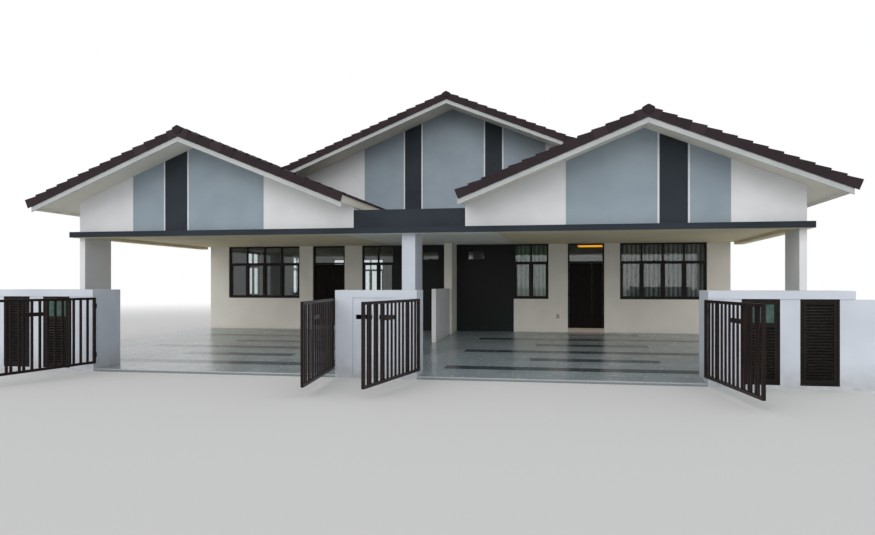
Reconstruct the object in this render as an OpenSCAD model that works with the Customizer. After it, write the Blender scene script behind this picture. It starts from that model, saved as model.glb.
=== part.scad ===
// Pair of single-storey homes under one gabled roof, each with a gabled car porch,
// a driveway gate and louvred stores in the front boundary wall.
// X runs along the street, Y goes into the house, Z is up. The origin lies on the ground,
// on the party line, in the front face of the porch gable walls. All sizes in millimetres.

/* [House front, from the party line outwards] */
// Thickness of the party wall
party_t = 240; // [150:10:300]
// Width of the dark feature wall
feature_w = 1840; // [1600:10:2000]
// Width of the narrow window beside it
narrow_w = 1090; // [900:10:1200]
// Wall between the narrow window and the entrance
pier_a_w = 600; // [400:10:800]
// Width of the entrance
door_w = 1114; // [1000:2:1200]
// Wall between the entrance and the wide window
pier_b_w = 476; // [300:2:700]
// Width of the wide window
wide_w = 2556; // [2200:4:2800]
// Wall between the wide window and the corner
corner_w = 674; // [400:2:900]

/* [House body] */
// Depth of the house body
house_depth = 11000; // [9000:100:14000]
// Thickness of the outer walls
wall_t = 150; // [120:5:180]
// House front to the near edge of the first side window
side_win_y = 2600; // [1500:50:3200]
// Wall between the two side windows
side_win_gap = 3410; // [2000:10:4000]

/* [Heights] */
// Floor of the house above the ground
floor_z = 470; // [400:10:600]
// Step from the porch floor up to the house floor
step_h = 130; // [80:5:200]
// Porch floor above the ground at the gate line
porch_front_z = 40; // [20:5:120]
// Sills of the windows above the house floor
sill_h = 910; // [800:10:1100]
// Sill to the middle of the transom bars
light_h = 1160; // [1000:10:1250]
// Middle of the transom bars to the ceiling
toplight_h = 580; // [400:10:700]
// Thickness of the ceiling slabs
slab_t = 120; // [80:5:160]
// Height of the high window
high_h = 420; // [300:5:500]
// Width of the high window
high_w = 683; // [500:1:900]
// Party wall to the near edge of the high window
high_in = 284; // [150:2:500]
// Wall left over the high window
high_top = 137; // [100:1:300]

/* [Porch] */
// Front face of the porch walls to the front face of the house
porch_depth = 6350; // [5800:50:7000]
// Distance that the porch is wider than the house on each side
porch_wider = 250; // [180:5:400]
// Length of the party wall that stands out into the porch
party_fin = 940; // [400:20:1400]
// Thickness of the low wall between the two porches
low_t = 120; // [90:5:150]
// Top of the low wall above the ground
low_z = 1715; // [1300:5:1900]
// Length of the low wall in front of the party wall
low_len = 2300; // [1500:50:3000]
// Thickness of the outer columns
column_t = 150; // [120:5:180]
// Depth of the outer columns
column_depth = 1060; // [600:20:1400]
// Half width of the centre column
centre_half = 160; // [125:5:220]
// Depth of the centre column
centre_depth = 800; // [400:20:1000]
// Drop of the ledge band below the porch ceiling
band_drop = 80; // [40:5:110]
// Height of the ledge band
band_t = 140; // [120:5:180]
// Projection of the ledge band in front of the porch walls
band_out = 270; // [100:10:400]
// Projection of the ledge band beside the porch walls
band_side = 100; // [50:5:150]
// Height of the centre parapet over the ledge band
parapet_h = 445; // [250:5:600]

/* [Roof] */
// Slope of every roof in degrees
roof_pitch = 22; // [20:0.5:24]
// Height of the outer corners of the porch gable walls over the ledge band
heel_h = 787; // [650:1:900]
// Eaves overhang beside the porch walls
eaves_out = 740; // [500:10:900]
// Tile courses on each main slope
main_courses = 30; // [28:1:33]
// Tile courses on each porch slope
porch_courses = 13; // [11:1:13]
// Inner eaves of the porch roofs to the inner edge of the walls that carry them
inner_lap = 89; // [50:1:200]
// Step at the nose of each tile course
tile_nose = 35; // [15:5:45]
// Upright depth of the tiles and battens
cover_t = 120; // [80:5:140]
// Upright depth of the soffit lining under the tiles
lining_t = 80; // [40:5:100]
// Roof overhang in front of the porch gables and behind the rear gable
verge_out = 1040; // [700:20:1200]
// Roof overhang in front of the main gable
main_verge_out = 1290; // [900:10:1500]
// Distance that the tiles reach past the barge boards
verge_lap = 30; // [10:5:60]
// Distance that the tiles reach past the eaves boards
eave_lap = 160; // [60:10:200]
// Thickness of the barge and eaves boards
board_t = 30; // [20:5:40]
// Height of the barge and eaves boards
board_h = 100; // [85:5:140]
// Half the opening that the ridge tiles cover between two slopes
ridge_slot = 15; // [5:5:40]
// Width of the ridge tiles
ridge_w = 260; // [200:10:320]
// Height of the ridge tiles over the slopes
ridge_h = 50; // [30:5:80]
// Thickness of the closed ends of the ridges
ridge_end_t = 15; // [8:1:30]

/* [Painted gable panels] */
// Thickness of the painted render panels
panel_t = 12; // [6:1:20]
// Width of the white joint between two render panels
joint_w = 45; // [25:5:80]
// Party line to the wide grey panel on a porch gable
panel_x = 3655; // [3200:5:4000]
// Width of the wide grey panel on a porch gable
grey_wide_w = 1993; // [1700:1:2300]
// Width of the dark panel on a porch gable
dark_w = 600; // [400:10:700]
// Width of the slim grey panel on a porch gable
grey_slim_w = 849; // [600:1:1100]
// Half width of the centre grey panel on the main gable
main_mid = 998; // [850:2:1150]
// Width of the dark panels on the main gable
main_dark_w = 545; // [400:5:650]
// Width of the outer grey panels on the main gable
main_grey_w = 1322; // [1000:2:1600]

/* [Frames and doors] */
// Lights across the wide window
wide_bays = 4; // [3:1:5]
// Lights across the narrow window
narrow_bays = 2; // [1:1:3]
// Face width of window and door frames
frame_w = 50; // [35:1:60]
// Depth of window and door frames
frame_d = 60; // [50:1:70]
// Face width of the casement sashes
sash_w = 40; // [25:1:50]
// Depth of the casement sashes
sash_d = 40; // [30:1:45]
// Distance from the wall face to the window frames
frame_set = 45; // [20:1:55]
// Thickness of the glass
glass_t = 8; // [6:1:12]
// Thickness of the entrance doors
leaf_t = 45; // [38:1:50]
// Ends of a leaf to its first and last hinge
leaf_hinge_in = 250; // [150:10:400]
// Width of the side leaf of each entrance
side_leaf_w = 310; // [250:5:400]
// Gap between the main leaf and the side leaf
meet_gap = 14; // [14:1:20]
// Length of the pull handles
pull_len = 350; // [200:10:500]
// Middle of the pull handles above the house floor
pull_z = 1130; // [950:10:1200]

/* [Front boundary] */
// Front face of the boundary wall ahead of the porch walls
fence_y = 2880; // [2500:10:3200]
// Sill under the louvre doors
louvre_z = 60; // [45:5:120]
// Height of the louvre doorways
louvre_h = 1529; // [1400:1:1650]
// Thickness of the caps
cap_t = 144; // [100:1:180]
// Projection of the store caps over the louvre doors
cap_out = 20; // [0:5:40]
// Distance between the two letter slots
slot_gap = 140; // [100:10:200]
// Width of a letter slot
slot_w = 330; // [240:5:340]
// Height of a letter slot
slot_h = 90; // [50:5:110]
// Middle of the letter slots above the ground
slot_z = 1205; // [1000:5:1350]
// Letter slot to the side of the sunk panel
sunk_margin = 70; // [40:5:120]
// Depth of the sunk panel in the front of the pier
sunk_depth = 20; // [10:1:40]
// Side of the sunk panel to the side of the pier
pier_edge = 360; // [200:5:450]
// Depth of the centre pier
pier_depth = 590; // [450:10:700]
// Width of each gateway
gateway_w = 5380; // [4800:10:5800]
// Gateway to the first louvre doorway
store_pier = 570; // [400:10:700]
// Width of a louvre doorway
louvre_w = 645; // [560:5:720]
// Face width of the frames round the louvre doors
store_frame_w = 40; // [40:1:60]
// Depth of the frames round the louvre doors
store_frame_d = 60; // [40:5:90]
// Ends of a louvre door to its hinges
louvre_hinge_in = 200; // [120:10:300]
// Wall between two louvre doorways
store_mid = 330; // [250:5:450]
// Wall past the second louvre doorway
store_edge = 250; // [180:5:300]
// Depth of the stores
store_depth = 925; // [700:5:1000]
// Thickness of the store walls
store_t = 110; // [90:5:130]
// Length of the plain walls past the stores
end_len = 700; // [400:10:1200]
// Top of the plain walls above the ground
end_z = 1580; // [1400:5:1600]
// Blades in each louvre door
blades = 25; // [18:1:30]
// Width of the louvre blades
blade_w = 30; // [24:1:34]

/* [Gates] */
// Underside of the gates above the ground
gate_z = 170; // [140:5:250]
// Height of the gates
gate_h = 1400; // [1200:10:1500]
// Size of the gate frame tubes
gate_t = 50; // [40:1:60]
// Gate jamb to the hinge axis
gate_set = 48; // [44:1:60]
// Hinge axis to the hinge stile
stile_set = 26; // [24:1:30]
// Gap between two closed leaves
gate_gap = 24; // [12:1:40]
// Angle at which the leaves stand open
gate_open = 98; // [90:1:100]
// Width of the upright bars
bar_w = 50; // [30:5:60]
// Thickness of the upright bars
bar_t = 25; // [16:1:40]
// Gap between two bars that stand as a pair
pair_gap = 45; // [25:5:60]
// Ends of the stiles to the middle of each gate hinge
hinge_in = 180; // [120:10:300]
// Length of the bolt plate
plate_len = 480; // [300:10:600]
// Height of the bolt plate
plate_h = 75; // [50:5:120]
// Top of the gate to the middle of the bolt plate
plate_drop = 300; // [200:10:400]

/* [Hidden] */
$fn = 48;

// Clearances: round a moving leaf, at the free edge of a leaf, where slopes are seated,
// and the extra length of a cut
clear = 5;
lock_gap = 8;
through = 1;
seat_gap = 0.3;
mitre = 1;
big = 40000;

feature_x = party_t / 2 + feature_w;
narrow_end = feature_x + narrow_w;
door_x = narrow_end + pier_a_w;
wide_x = door_x + door_w + pier_b_w;
house_half = wide_x + wide_w + corner_w;
porch_half = house_half + porch_wider;
high_x = party_t / 2 + high_in;

house_back = porch_depth + house_depth;
inner_front = porch_depth + wall_t;
inner_back = house_back - wall_t;
inner_half = house_half - wall_t;

porch_back_z = floor_z - step_h;
sill_z = floor_z + sill_h;
transom_z = sill_z + light_h;
ceiling_z = transom_z + toplight_h;
band_z = ceiling_z - band_drop;
band_top = band_z + band_t;
slab_top = ceiling_z + slab_t;

slope = tan(roof_pitch);
roof_half = porch_half + eaves_out;
roof_build = cover_t + lining_t + 2 * seat_gap;
main_apex = band_top + heel_h + roof_build + slope * porch_half;
course = roof_half / main_courses;
porch_ridge = roof_half - porch_courses * course;
porch_apex = main_apex - slope * porch_ridge;
inner_eave = porch_ridge - porch_courses * course;
parapet_half = inner_eave + inner_lap;
main_verge = porch_depth - main_verge_out;
rear_verge = house_back + verge_out;
fascia_x = roof_half - eave_lap;

dark_x = panel_x + grey_wide_w + joint_w;
slim_x = dark_x + dark_w + joint_w;
main_dark_x = main_mid + joint_w;
main_grey_x = main_dark_x + main_dark_w + joint_w;

sunk_half = slot_gap / 2 + slot_w + sunk_margin;
pier_half = sunk_half + pier_edge;
pier_y = pier_depth - fence_y;
store_x = pier_half + gateway_w;
louvre_x = store_x + store_pier;
louvre_step = louvre_w + store_mid;
store_end = louvre_x + louvre_step + louvre_w + store_edge;
store_y = store_depth - fence_y;
store_top = louvre_z + louvre_h;
fence_z = store_top + cap_t;

grey = "#8e9aa3";
white = "#e9e8e4";
dark = "#33393f";
bronze = "#2a2220";
gate_paint = "#2a1b1f";

// Underside of the soffit lining at a distance from the party line
function under_main(x) = main_apex - roof_build - slope * abs(x);
function under_porch(x) = porch_apex - roof_build - slope * abs(abs(x) - porch_ridge);
function tile_top_porch(x) = porch_apex - slope * abs(abs(x) - porch_ridge);

// Stretches a profile in X and Z from one depth to another
module along_y(y0, y1) {
    translate([0, y1, 0]) rotate([90, 0, 0]) linear_extrude(height = y1 - y0) children();
}

// Stretches a profile in Y and Z from one side to another
module along_x(x0, x1) {
    translate([x0, 0, 0]) rotate([90, 0, 90]) linear_extrude(height = x1 - x0) children();
}

module block(x0, x1, y0, y1, z0, z1) {
    translate([x0, y0, z0]) cube([x1 - x0, y1 - y0, z1 - z0]);
}

// Frame of one face width round a rectangle
module ring_outline(w, h, face_w) {
    difference() {
        square([w, h]);
        translate([face_w, face_w]) square([w - 2 * face_w, h - 2 * face_w]);
    }
}

// The same piece for the right-hand and the left-hand home
module both_homes() {
    children();
    mirror([1, 0, 0]) children();
}

// Outline under the main roof, as wide as two distances from the party line
module under_main_outline(x0, x1, z0) {
    polygon([
        [x0, z0], [x1, z0], [x1, under_main(x1)],
        if (x0 < 0 && x1 > 0) [0, under_main(0)],
        [x0, under_main(x0)],
    ]);
}

// Outline under one porch roof
module under_porch_outline(x0, x1, z0) {
    polygon([
        [x0, z0], [x1, z0], [x1, under_porch(x1)],
        if (x0 < porch_ridge && x1 > porch_ridge) [porch_ridge, under_porch(porch_ridge)],
        [x0, under_porch(x0)],
    ]);
}

// Floors

module house_floor() {
    color("#b9b4ab") both_homes()
        block(party_t / 2, inner_half, inner_front, inner_back, 0, floor_z);
}

// Sloping porch floor, cut round everything that stands through it
module porch_floor() {
    color("#7c878c") difference() {
        along_x(-porch_half, porch_half) polygon([
            [-fence_y, 0], [porch_depth, 0], [porch_depth, porch_back_z],
            [-fence_y, porch_front_z],
        ]);
        both_homes() {
            block(store_x, big, -big, store_y, -through, big);
            block(porch_half - column_t, big, 0, column_depth, -through, big);
        }
        block(-pier_half, pier_half, -big, pier_y, -through, big);
        block(-centre_half, centre_half, 0, centre_depth, -through, big);
        block(-low_t / 2, low_t / 2, porch_depth - party_fin - low_len, big, -through, big);
        block(-party_t / 2, party_t / 2, porch_depth - party_fin, big, -through, big);
    }
}

module door_sills() {
    color("#a08f82") both_homes()
        block(door_x, door_x + door_w, porch_depth, inner_front, 0, floor_z);
}

// Walls of the house body

module front_outer_walls() {
    color(white) both_homes() along_y(porch_depth, inner_front) polygon([
        [door_x + door_w, 0], [house_half, 0], [house_half, ceiling_z],
        [wide_x + wide_w, ceiling_z], [wide_x + wide_w, sill_z],
        [wide_x, sill_z], [wide_x, ceiling_z], [door_x + door_w, ceiling_z],
    ]);
}

module front_inner_walls() {
    color(white) both_homes() along_y(porch_depth, inner_front) polygon([
        [feature_x, 0], [door_x, 0], [door_x, ceiling_z],
        [narrow_end, ceiling_z], [narrow_end, sill_z], [feature_x, sill_z],
    ]);
}

module feature_walls() {
    color("#1d2321") both_homes() along_y(porch_depth, inner_front) difference() {
        translate([party_t / 2, 0]) square([feature_x - party_t / 2, ceiling_z]);
        translate([high_x, ceiling_z - high_top - high_h]) square([high_w, high_h]);
    }
}

// Party wall up to the roof, with its end standing out into the porch
module party_wall() {
    color(white) {
        block(-party_t / 2, party_t / 2, porch_depth - party_fin, inner_back, 0, ceiling_z);
        along_y(inner_front, inner_back)
            under_main_outline(-party_t / 2, party_t / 2, ceiling_z);
    }
}

module low_party_wall() {
    color(white) block(-low_t / 2, low_t / 2, porch_depth - party_fin - low_len,
        porch_depth - party_fin, 0, low_z);
}

// Windows at the sides and the rear end a frame's width below the ceiling
back_win_h = ceiling_z - frame_w - sill_z;
function side_window_y(k) = porch_depth + side_win_y + k * (narrow_w + side_win_gap);

module side_walls() {
    color(white) both_homes() difference() {
        along_y(inner_front, inner_back) under_main_outline(inner_half, house_half, 0);
        for (k = [0, 1])
            translate([0, side_window_y(k), sill_z])
                cube([big, narrow_w, back_win_h]);
    }
}

// Rear wall with its gable and, for each home, a wide and a narrow window
module rear_wall() {
    color(white) along_y(inner_back, house_back) difference() {
        under_main_outline(-house_half, house_half, 0);
        both_homes() {
            translate([wide_x, sill_z]) square([wide_w, back_win_h]);
            translate([feature_x, sill_z]) square([narrow_w, back_win_h]);
        }
    }
}

module main_gable_wall() {
    color(white) along_y(porch_depth, inner_front)
        under_main_outline(-house_half, house_half, ceiling_z);
}

// Painted panels: a strip of gable between two distances, clear of the porch roof
module main_panel(x0, x1) {
    along_y(porch_depth - panel_t, porch_depth) difference() {
        under_main_outline(x0, x1, slab_top);
        both_homes() polygon([
            [inner_eave - clear, 0], [porch_ridge, 0],
            [porch_ridge, porch_apex + tile_nose + clear],
            [inner_eave - clear, tile_top_porch(inner_eave) + tile_nose + clear],
        ]);
    }
}

module porch_panel(x0, x1) {
    along_y(-panel_t, 0) under_porch_outline(x0, x1, band_top);
}

module grey_panels() {
    color(grey) {
        main_panel(-main_mid, main_mid);
        both_homes() {
            main_panel(main_grey_x, main_grey_x + main_grey_w);
            porch_panel(panel_x, panel_x + grey_wide_w);
            porch_panel(slim_x, slim_x + grey_slim_w);
        }
    }
}

module dark_panels() {
    color(dark) both_homes() {
        main_panel(main_dark_x, main_dark_x + main_dark_w);
        porch_panel(dark_x, dark_x + dark_w);
    }
}

// Porch

module ledge_band() {
    color(dark) difference() {
        block(-porch_half - band_side, porch_half + band_side, -band_out, porch_depth,
            band_z, band_top);
        block(-porch_half + column_t, porch_half - column_t, wall_t, big, 0, big);
    }
}

module porch_ceiling() {
    color("#8a8676") block(-porch_half + column_t, porch_half - column_t,
        wall_t, porch_depth, ceiling_z, slab_top);
}

module house_ceiling() {
    color(white) both_homes()
        block(party_t / 2, inner_half, inner_front, inner_back, ceiling_z, slab_top);
}

module centre_column() {
    color(white) along_x(-centre_half, centre_half) polygon([
        [0, 0], [centre_depth, 0], [centre_depth, ceiling_z], [wall_t, ceiling_z],
        [wall_t, band_z], [0, band_z],
    ]);
}

module outer_columns() {
    color(white) both_homes()
        block(porch_half - column_t, porch_half, 0, column_depth, 0, band_z);
}

module porch_gable_walls() {
    color(white) both_homes() along_y(0, wall_t)
        under_porch_outline(parapet_half, porch_half, band_top);
}

module porch_side_walls() {
    color(white) both_homes() along_y(wall_t, porch_depth) {
        under_porch_outline(porch_half - column_t, porch_half, band_top);
        under_porch_outline(parapet_half, parapet_half + wall_t, slab_top);
    }
}

module centre_parapet() {
    half = parapet_half - seat_gap;
    color(dark) block(-half, half, 0, wall_t, band_top, band_top + parapet_h);
}

// Roofs

// Stepped section of one slope, from the ridge at the origin down to the eaves
module slope_outline(courses) {
    run = courses * course;
    polygon([
        for (k = [0 : courses - 1]) each [
            [max(k * course, ridge_slot), -slope * max(k * course, ridge_slot)],
            [(k + 1) * course, tile_nose - slope * (k + 1) * course],
        ],
        [run, -cover_t - slope * run],
        [ridge_slot, -cover_t - slope * ridge_slot],
    ]);
}

module main_roof() {
    color("#3a2a2e") both_homes() along_y(main_verge, rear_verge)
        translate([0, main_apex]) slope_outline(main_courses);
}

// Space that the main roof takes over the porch roofs
module main_roof_space() {
    along_y(main_verge, house_back) polygon([
        [0, big], [0, under_main(0)], [big, under_main(big)], [big, big],
    ]);
}

module porch_roofs() {
    color("#3a2a2e") both_homes() {
        along_y(-verge_out, main_verge) translate([porch_ridge, porch_apex])
            slope_outline(porch_courses);
        difference() {
            along_y(-verge_out, porch_depth) translate([porch_ridge, porch_apex])
                mirror([1, 0]) slope_outline(porch_courses);
            main_roof_space();
        }
    }
}

// Angular ridge tile over the slot between two slopes, from its foot to the given depth
ridge_lift = tile_nose * (ridge_w / 2 - ridge_slot) / (course - ridge_slot) + seat_gap;

module ridge_outline(foot_z) {
    half = ridge_w / 2;
    drop = slope * half;
    shoulder = ridge_w / 5;
    shoulder_z = ridge_lift + 0.8 * ridge_h;
    lip_z = ridge_lift - drop + ridge_h / 2;
    polygon([
        [-half, foot_z - drop], [0, foot_z], [half, foot_z - drop], [half, lip_z],
        [shoulder, shoulder_z], [0, ridge_lift + ridge_h], [-shoulder, shoulder_z],
        [-half, lip_z],
    ]);
}

// A run of ridge tiles, closed at the ends that face the street or the rear
module ridge_run(y0, y1, rear_end) {
    along_y(y0, y1) ridge_outline(ridge_lift);
    along_y(y0 - ridge_end_t, y0) ridge_outline(-cover_t);
    if (rear_end) along_y(y1, y1 + ridge_end_t) ridge_outline(-cover_t);
}

module ridge_caps() {
    color("#33252a") {
        translate([0, 0, main_apex]) ridge_run(main_verge, rear_verge, true);
        both_homes() translate([porch_ridge, 0, porch_apex])
            ridge_run(-verge_out, main_verge, false);
    }
}

// Section of a board that follows one slope under the tiles
module board_outline(x0, x1, peak_x, peak_z, h) {
    top = peak_z - cover_t - seat_gap;
    polygon([
        [x0, top - slope * abs(x0 - peak_x)],
        [x1, top - slope * abs(x1 - peak_x)],
        [x1, top - h - slope * abs(x1 - peak_x)],
        [x0, top - h - slope * abs(x0 - peak_x)],
    ]);
}

module porch_boards(h, x_in, x_out) {
    board_outline(x_in, porch_ridge - mitre / 2, porch_ridge, porch_apex, h);
    board_outline(porch_ridge + mitre / 2, x_out, porch_ridge, porch_apex, h);
}

module main_boards(h, x_out) {
    board_outline(mitre / 2, x_out, 0, main_apex, h);
}

module barge_boards() {
    barge = -verge_out + verge_lap;
    main_barge = main_verge + verge_lap;
    rear_barge = rear_verge - verge_lap;
    color("#8d9295") {
        both_homes() along_y(barge, barge + board_t)
            porch_boards(board_h, parapet_half, fascia_x);
        difference() {
            both_homes() along_y(main_barge, main_barge + board_t)
                main_boards(board_h, porch_ridge);
            both_homes() along_y(0, big) polygon([
                [inner_eave, 0], [big, 0], [porch_ridge, porch_apex + tile_nose + mitre],
                [inner_eave, tile_top_porch(inner_eave) + tile_nose + mitre],
            ]);
        }
        both_homes() along_y(rear_barge - board_t, rear_barge)
            main_boards(board_h, fascia_x);
    }
}

// Front and rear ends of the linings and eaves boards, behind the barge boards
porch_lining_y = -verge_out + verge_lap + board_t;
main_lining_y = main_verge + verge_lap + board_t;
rear_lining_y = rear_verge - verge_lap - board_t;

module eaves_boards() {
    color("#8d9295") both_homes() along_y(porch_lining_y, rear_lining_y)
        board_outline(fascia_x - board_t, fascia_x, 0, main_apex, board_h);
}

// Lining under the tiles, seen as the sloping soffit outside the walls

module main_soffits() {
    color("#c9c4b4") both_homes() along_y(main_lining_y, rear_lining_y)
        main_boards(lining_t, fascia_x - board_t);
}

module porch_soffits() {
    color("#c9c4b4") both_homes() {
        along_y(porch_lining_y, main_lining_y)
            board_outline(porch_ridge + mitre / 2, fascia_x - board_t,
                porch_ridge, porch_apex, lining_t);
        difference() {
            along_y(porch_lining_y, porch_depth)
                board_outline(parapet_half, porch_ridge - mitre / 2,
                    porch_ridge, porch_apex, lining_t);
            main_roof_space();
        }
    }
}

// Windows: [near edge, width, sill, height, lights across, has a transom]

front_windows = [
    [wide_x, wide_w, sill_z, ceiling_z - sill_z, wide_bays, true],
    [feature_x, narrow_w, sill_z, ceiling_z - sill_z, narrow_bays, true],
    [high_x, high_w, ceiling_z - high_top - high_h, high_h, 1, false],
];
rear_windows = [
    [wide_x, wide_w, sill_z, back_win_h, wide_bays, true],
    [feature_x, narrow_w, sill_z, back_win_h, narrow_bays, true],
];
side_window = [0, narrow_w, sill_z, back_win_h, narrow_bays, true];

// Frame with mullions and a transom, its front face at Y = 0, and casements below
module window_frame(win) {
    x0 = win[0];
    z0 = win[2];
    z1 = win[2] + win[3];
    light = (win[1] - frame_w * (win[4] + 1)) / win[4];
    low_top = win[5] ? transom_z - frame_w / 2 : z1 - frame_w;
    along_y(0, frame_d) difference() {
        translate([x0, z0]) square([win[1], win[3]]);
        for (k = [0 : win[4] - 1]) translate([x0 + frame_w + k * (light + frame_w), 0]) {
            translate([0, z0 + frame_w]) square([light, low_top - z0 - frame_w]);
            if (win[5]) translate([0, transom_z + frame_w / 2])
                square([light, z1 - transom_z - 1.5 * frame_w]);
        }
    }
    along_y(frame_d - sash_d, frame_d) for (k = [0 : win[4] - 1])
        translate([x0 + frame_w + k * (light + frame_w), z0 + frame_w])
            ring_outline(light, low_top - z0 - frame_w, sash_w);
}

module window_pane(win) {
    translate([win[0], frame_d, win[2]]) cube([win[1], glass_t, win[3]]);
}

// Puts the children in every window, passing the window through $win
module at_windows() {
    both_homes() {
        for (w = front_windows) translate([0, porch_depth + frame_set, 0]) {
            $win = w;
            children();
        }
        for (w = rear_windows) translate([0, house_back - frame_set, 0])
            mirror([0, 1, 0]) {
                $win = w;
                children();
            }
        for (k = [0, 1]) translate([house_half - frame_set, side_window_y(k), 0])
            rotate([0, 0, 90]) {
                $win = side_window;
                children();
            }
    }
}

module window_frames() {
    color(bronze) at_windows() window_frame($win);
}

module window_glass() {
    toplight_z = transom_z + frame_w / 2;
    color("#6f8791", 0.5) {
        at_windows() window_pane($win);
        both_homes() translate([door_x + frame_w, inner_front - leaf_t, toplight_z])
            cube([door_w - 2 * frame_w, glass_t, ceiling_z - frame_w - toplight_z]);
    }
}

// Entrance frame: jambs, head and transom bar
module entrance_frames() {
    clear_w = door_w - 2 * frame_w;
    door_head = transom_z - frame_w / 2;
    toplight_z = transom_z + frame_w / 2;
    color(bronze) both_homes() along_y(inner_front - leaf_t - frame_d, inner_front)
        difference() {
            translate([door_x, floor_z]) square([door_w, ceiling_z - floor_z]);
            translate([door_x + frame_w, 0]) square([clear_w, door_head]);
            translate([door_x + frame_w, toplight_z])
                square([clear_w, ceiling_z - frame_w - toplight_z]);
        }
}

// Butt hinges: a fixed knuckle with its pin, and two knuckles on the leaf.
// The axis stands hinge_out clear of the face that both flaps lie on.

hinge_out = 10;
knuckle_r = 9;
knuckle_h = 28;
pin_r = 4.5;
pin_clear = 0.3;
pin_end = 2;
flap_w = 40;
flap_t = 3;
axis_clear = clear / 2;

module hinge_fixed(z) {
    translate([0, 0, z]) {
        cylinder(r = knuckle_r, h = knuckle_h);
        translate([0, 0, pin_end - knuckle_h])
            cylinder(r = pin_r, h = 3 * knuckle_h - 2 * pin_end);
        translate([-flap_w, hinge_out - flap_t, 0]) cube([flap_w, flap_t, knuckle_h]);
        translate([-knuckle_r, 0, 0]) cube([knuckle_r, hinge_out, knuckle_h]);
    }
}

module hinge_leaf(z) {
    for (side = [-1, 1]) translate([0, 0, z + side * (knuckle_h + pin_clear)])
        difference() {
            union() {
                cylinder(r = knuckle_r, h = knuckle_h);
                translate([axis_clear, hinge_out - flap_t, 0])
                    cube([flap_w - axis_clear, flap_t, knuckle_h]);
                translate([axis_clear, 0, 0])
                    cube([knuckle_r - axis_clear, hinge_out, knuckle_h]);
            }
            translate([0, 0, -through])
                cylinder(r = pin_r + pin_clear, h = knuckle_h + 2 * through);
        }
}

// Entrance doors open inwards, the main leaf on the inner jamb and the side leaf on the
// outer one. Local frame: axis at the origin, the leaf along +X, its hinge face at -Y.

main_leaf_w = door_w - 2 * frame_w - 2 * clear - meet_gap - side_leaf_w;
leaf_foot = floor_z + clear;
leaf_h = transom_z - frame_w / 2 - clear - leaf_foot;
leaf_hinges_z = [
    leaf_foot + leaf_hinge_in, leaf_foot + leaf_h / 2, leaf_foot + leaf_h - leaf_hinge_in,
];
pull_edge = 60;

module door_leaf(w) {
    translate([axis_clear, hinge_out, leaf_foot]) cube([w, leaf_t, leaf_h]);
    for (z = leaf_hinges_z) hinge_leaf(z);
}

// Upright pull handle on two stems, standing out from the face at Y = 0 towards +Y
module pull_handle() {
    grip_r = 12;
    stem_r = 8;
    stem_len = 45;
    stem_in = 50;
    translate([0, stem_len, -pull_len / 2]) cylinder(r = grip_r, h = pull_len);
    for (side = [-1, 1]) translate([0, 0, side * (pull_len / 2 - stem_in)])
        rotate([-90, 0, 0]) cylinder(r = stem_r, h = stem_len);
}

module main_door_leaf() {
    door_leaf(main_leaf_w);
    translate([axis_clear + main_leaf_w - pull_edge, hinge_out, floor_z + pull_z]) {
        mirror([0, 1, 0]) pull_handle();
        translate([0, leaf_t, 0]) pull_handle();
    }
}

module at_main_door() {
    translate([door_x + frame_w + axis_clear, inner_front + hinge_out, 0])
        mirror([0, 1, 0]) children();
}

module at_side_leaf() {
    translate([door_x + door_w - frame_w - axis_clear, inner_front + hinge_out, 0])
        rotate([0, 0, 180]) children();
}

module entrance_door_right() { color("#211513") at_main_door() main_door_leaf(); }
module entrance_door_left() { mirror([1, 0, 0]) entrance_door_right(); }
module side_leaf_right() { color("#211513") at_side_leaf() door_leaf(side_leaf_w); }
module side_leaf_left() { mirror([1, 0, 0]) side_leaf_right(); }

// Front boundary

module centre_pier() {
    color(white) difference() {
        block(-pier_half, pier_half, -fence_y, pier_y, 0, fence_z);
        block(-sunk_half, sunk_half, -big, -fence_y + sunk_depth, louvre_z, store_top);
        both_homes()
            block(slot_gap / 2, slot_gap / 2 + slot_w, -big, -fence_y + pier_depth / 2,
                slot_z - slot_h / 2, slot_z + slot_h / 2);
    }
}

// Walls of one store: back, ends and front piers on a low sill
module store_walls() {
    color(white) both_homes() difference() {
        block(store_x, store_end, -fence_y, store_y, 0, store_top);
        block(store_x + store_t, store_end - store_t, -fence_y + store_t, store_y - store_t,
            louvre_z, big);
        for (k = [0, 1])
            block(louvre_x + k * louvre_step, louvre_x + k * louvre_step + louvre_w,
                -big, -fence_y + store_t + through, louvre_z, big);
    }
}

module store_caps() {
    color(white) both_homes()
        block(store_x, store_end, -fence_y - cap_out, store_y, store_top, fence_z);
}

module boundary_end_walls() {
    color(white) both_homes()
        block(store_end, store_end + end_len, -fence_y, -fence_y + store_t, 0, end_z);
}

// Frames round the louvre doors
module store_frames() {
    color(bronze) both_homes() for (k = [0, 1])
        along_y(-fence_y, -fence_y + store_frame_d)
            translate([louvre_x + k * louvre_step, louvre_z])
                ring_outline(louvre_w, louvre_h, store_frame_w);
}

// Louvre doors open outwards on the jamb away from the gate. Local frame as above.

louvre_t = 35;
louvre_stile = 50;
blade_t = 5;
blade_tilt = 40;
blade_tenon = 1;
louvre_foot = louvre_z + store_frame_w + clear;
louvre_leaf_w = louvre_w - 2 * store_frame_w - clear - lock_gap;
louvre_leaf_h = louvre_h - 2 * store_frame_w - 2 * clear;
louvre_hinges_z = [
    louvre_foot + louvre_hinge_in, louvre_foot + louvre_leaf_h - louvre_hinge_in,
];

module louvre_leaf() {
    pitch = (louvre_leaf_h - 2 * louvre_stile) / blades;
    translate([axis_clear, hinge_out, louvre_foot]) {
        along_y(0, louvre_t) ring_outline(louvre_leaf_w, louvre_leaf_h, louvre_stile);
        for (k = [0 : blades - 1])
            translate([0, 0, louvre_stile + (k + 0.5) * pitch]) louvre_blade();
    }
    for (z = louvre_hinges_z) hinge_leaf(z);
}

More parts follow.
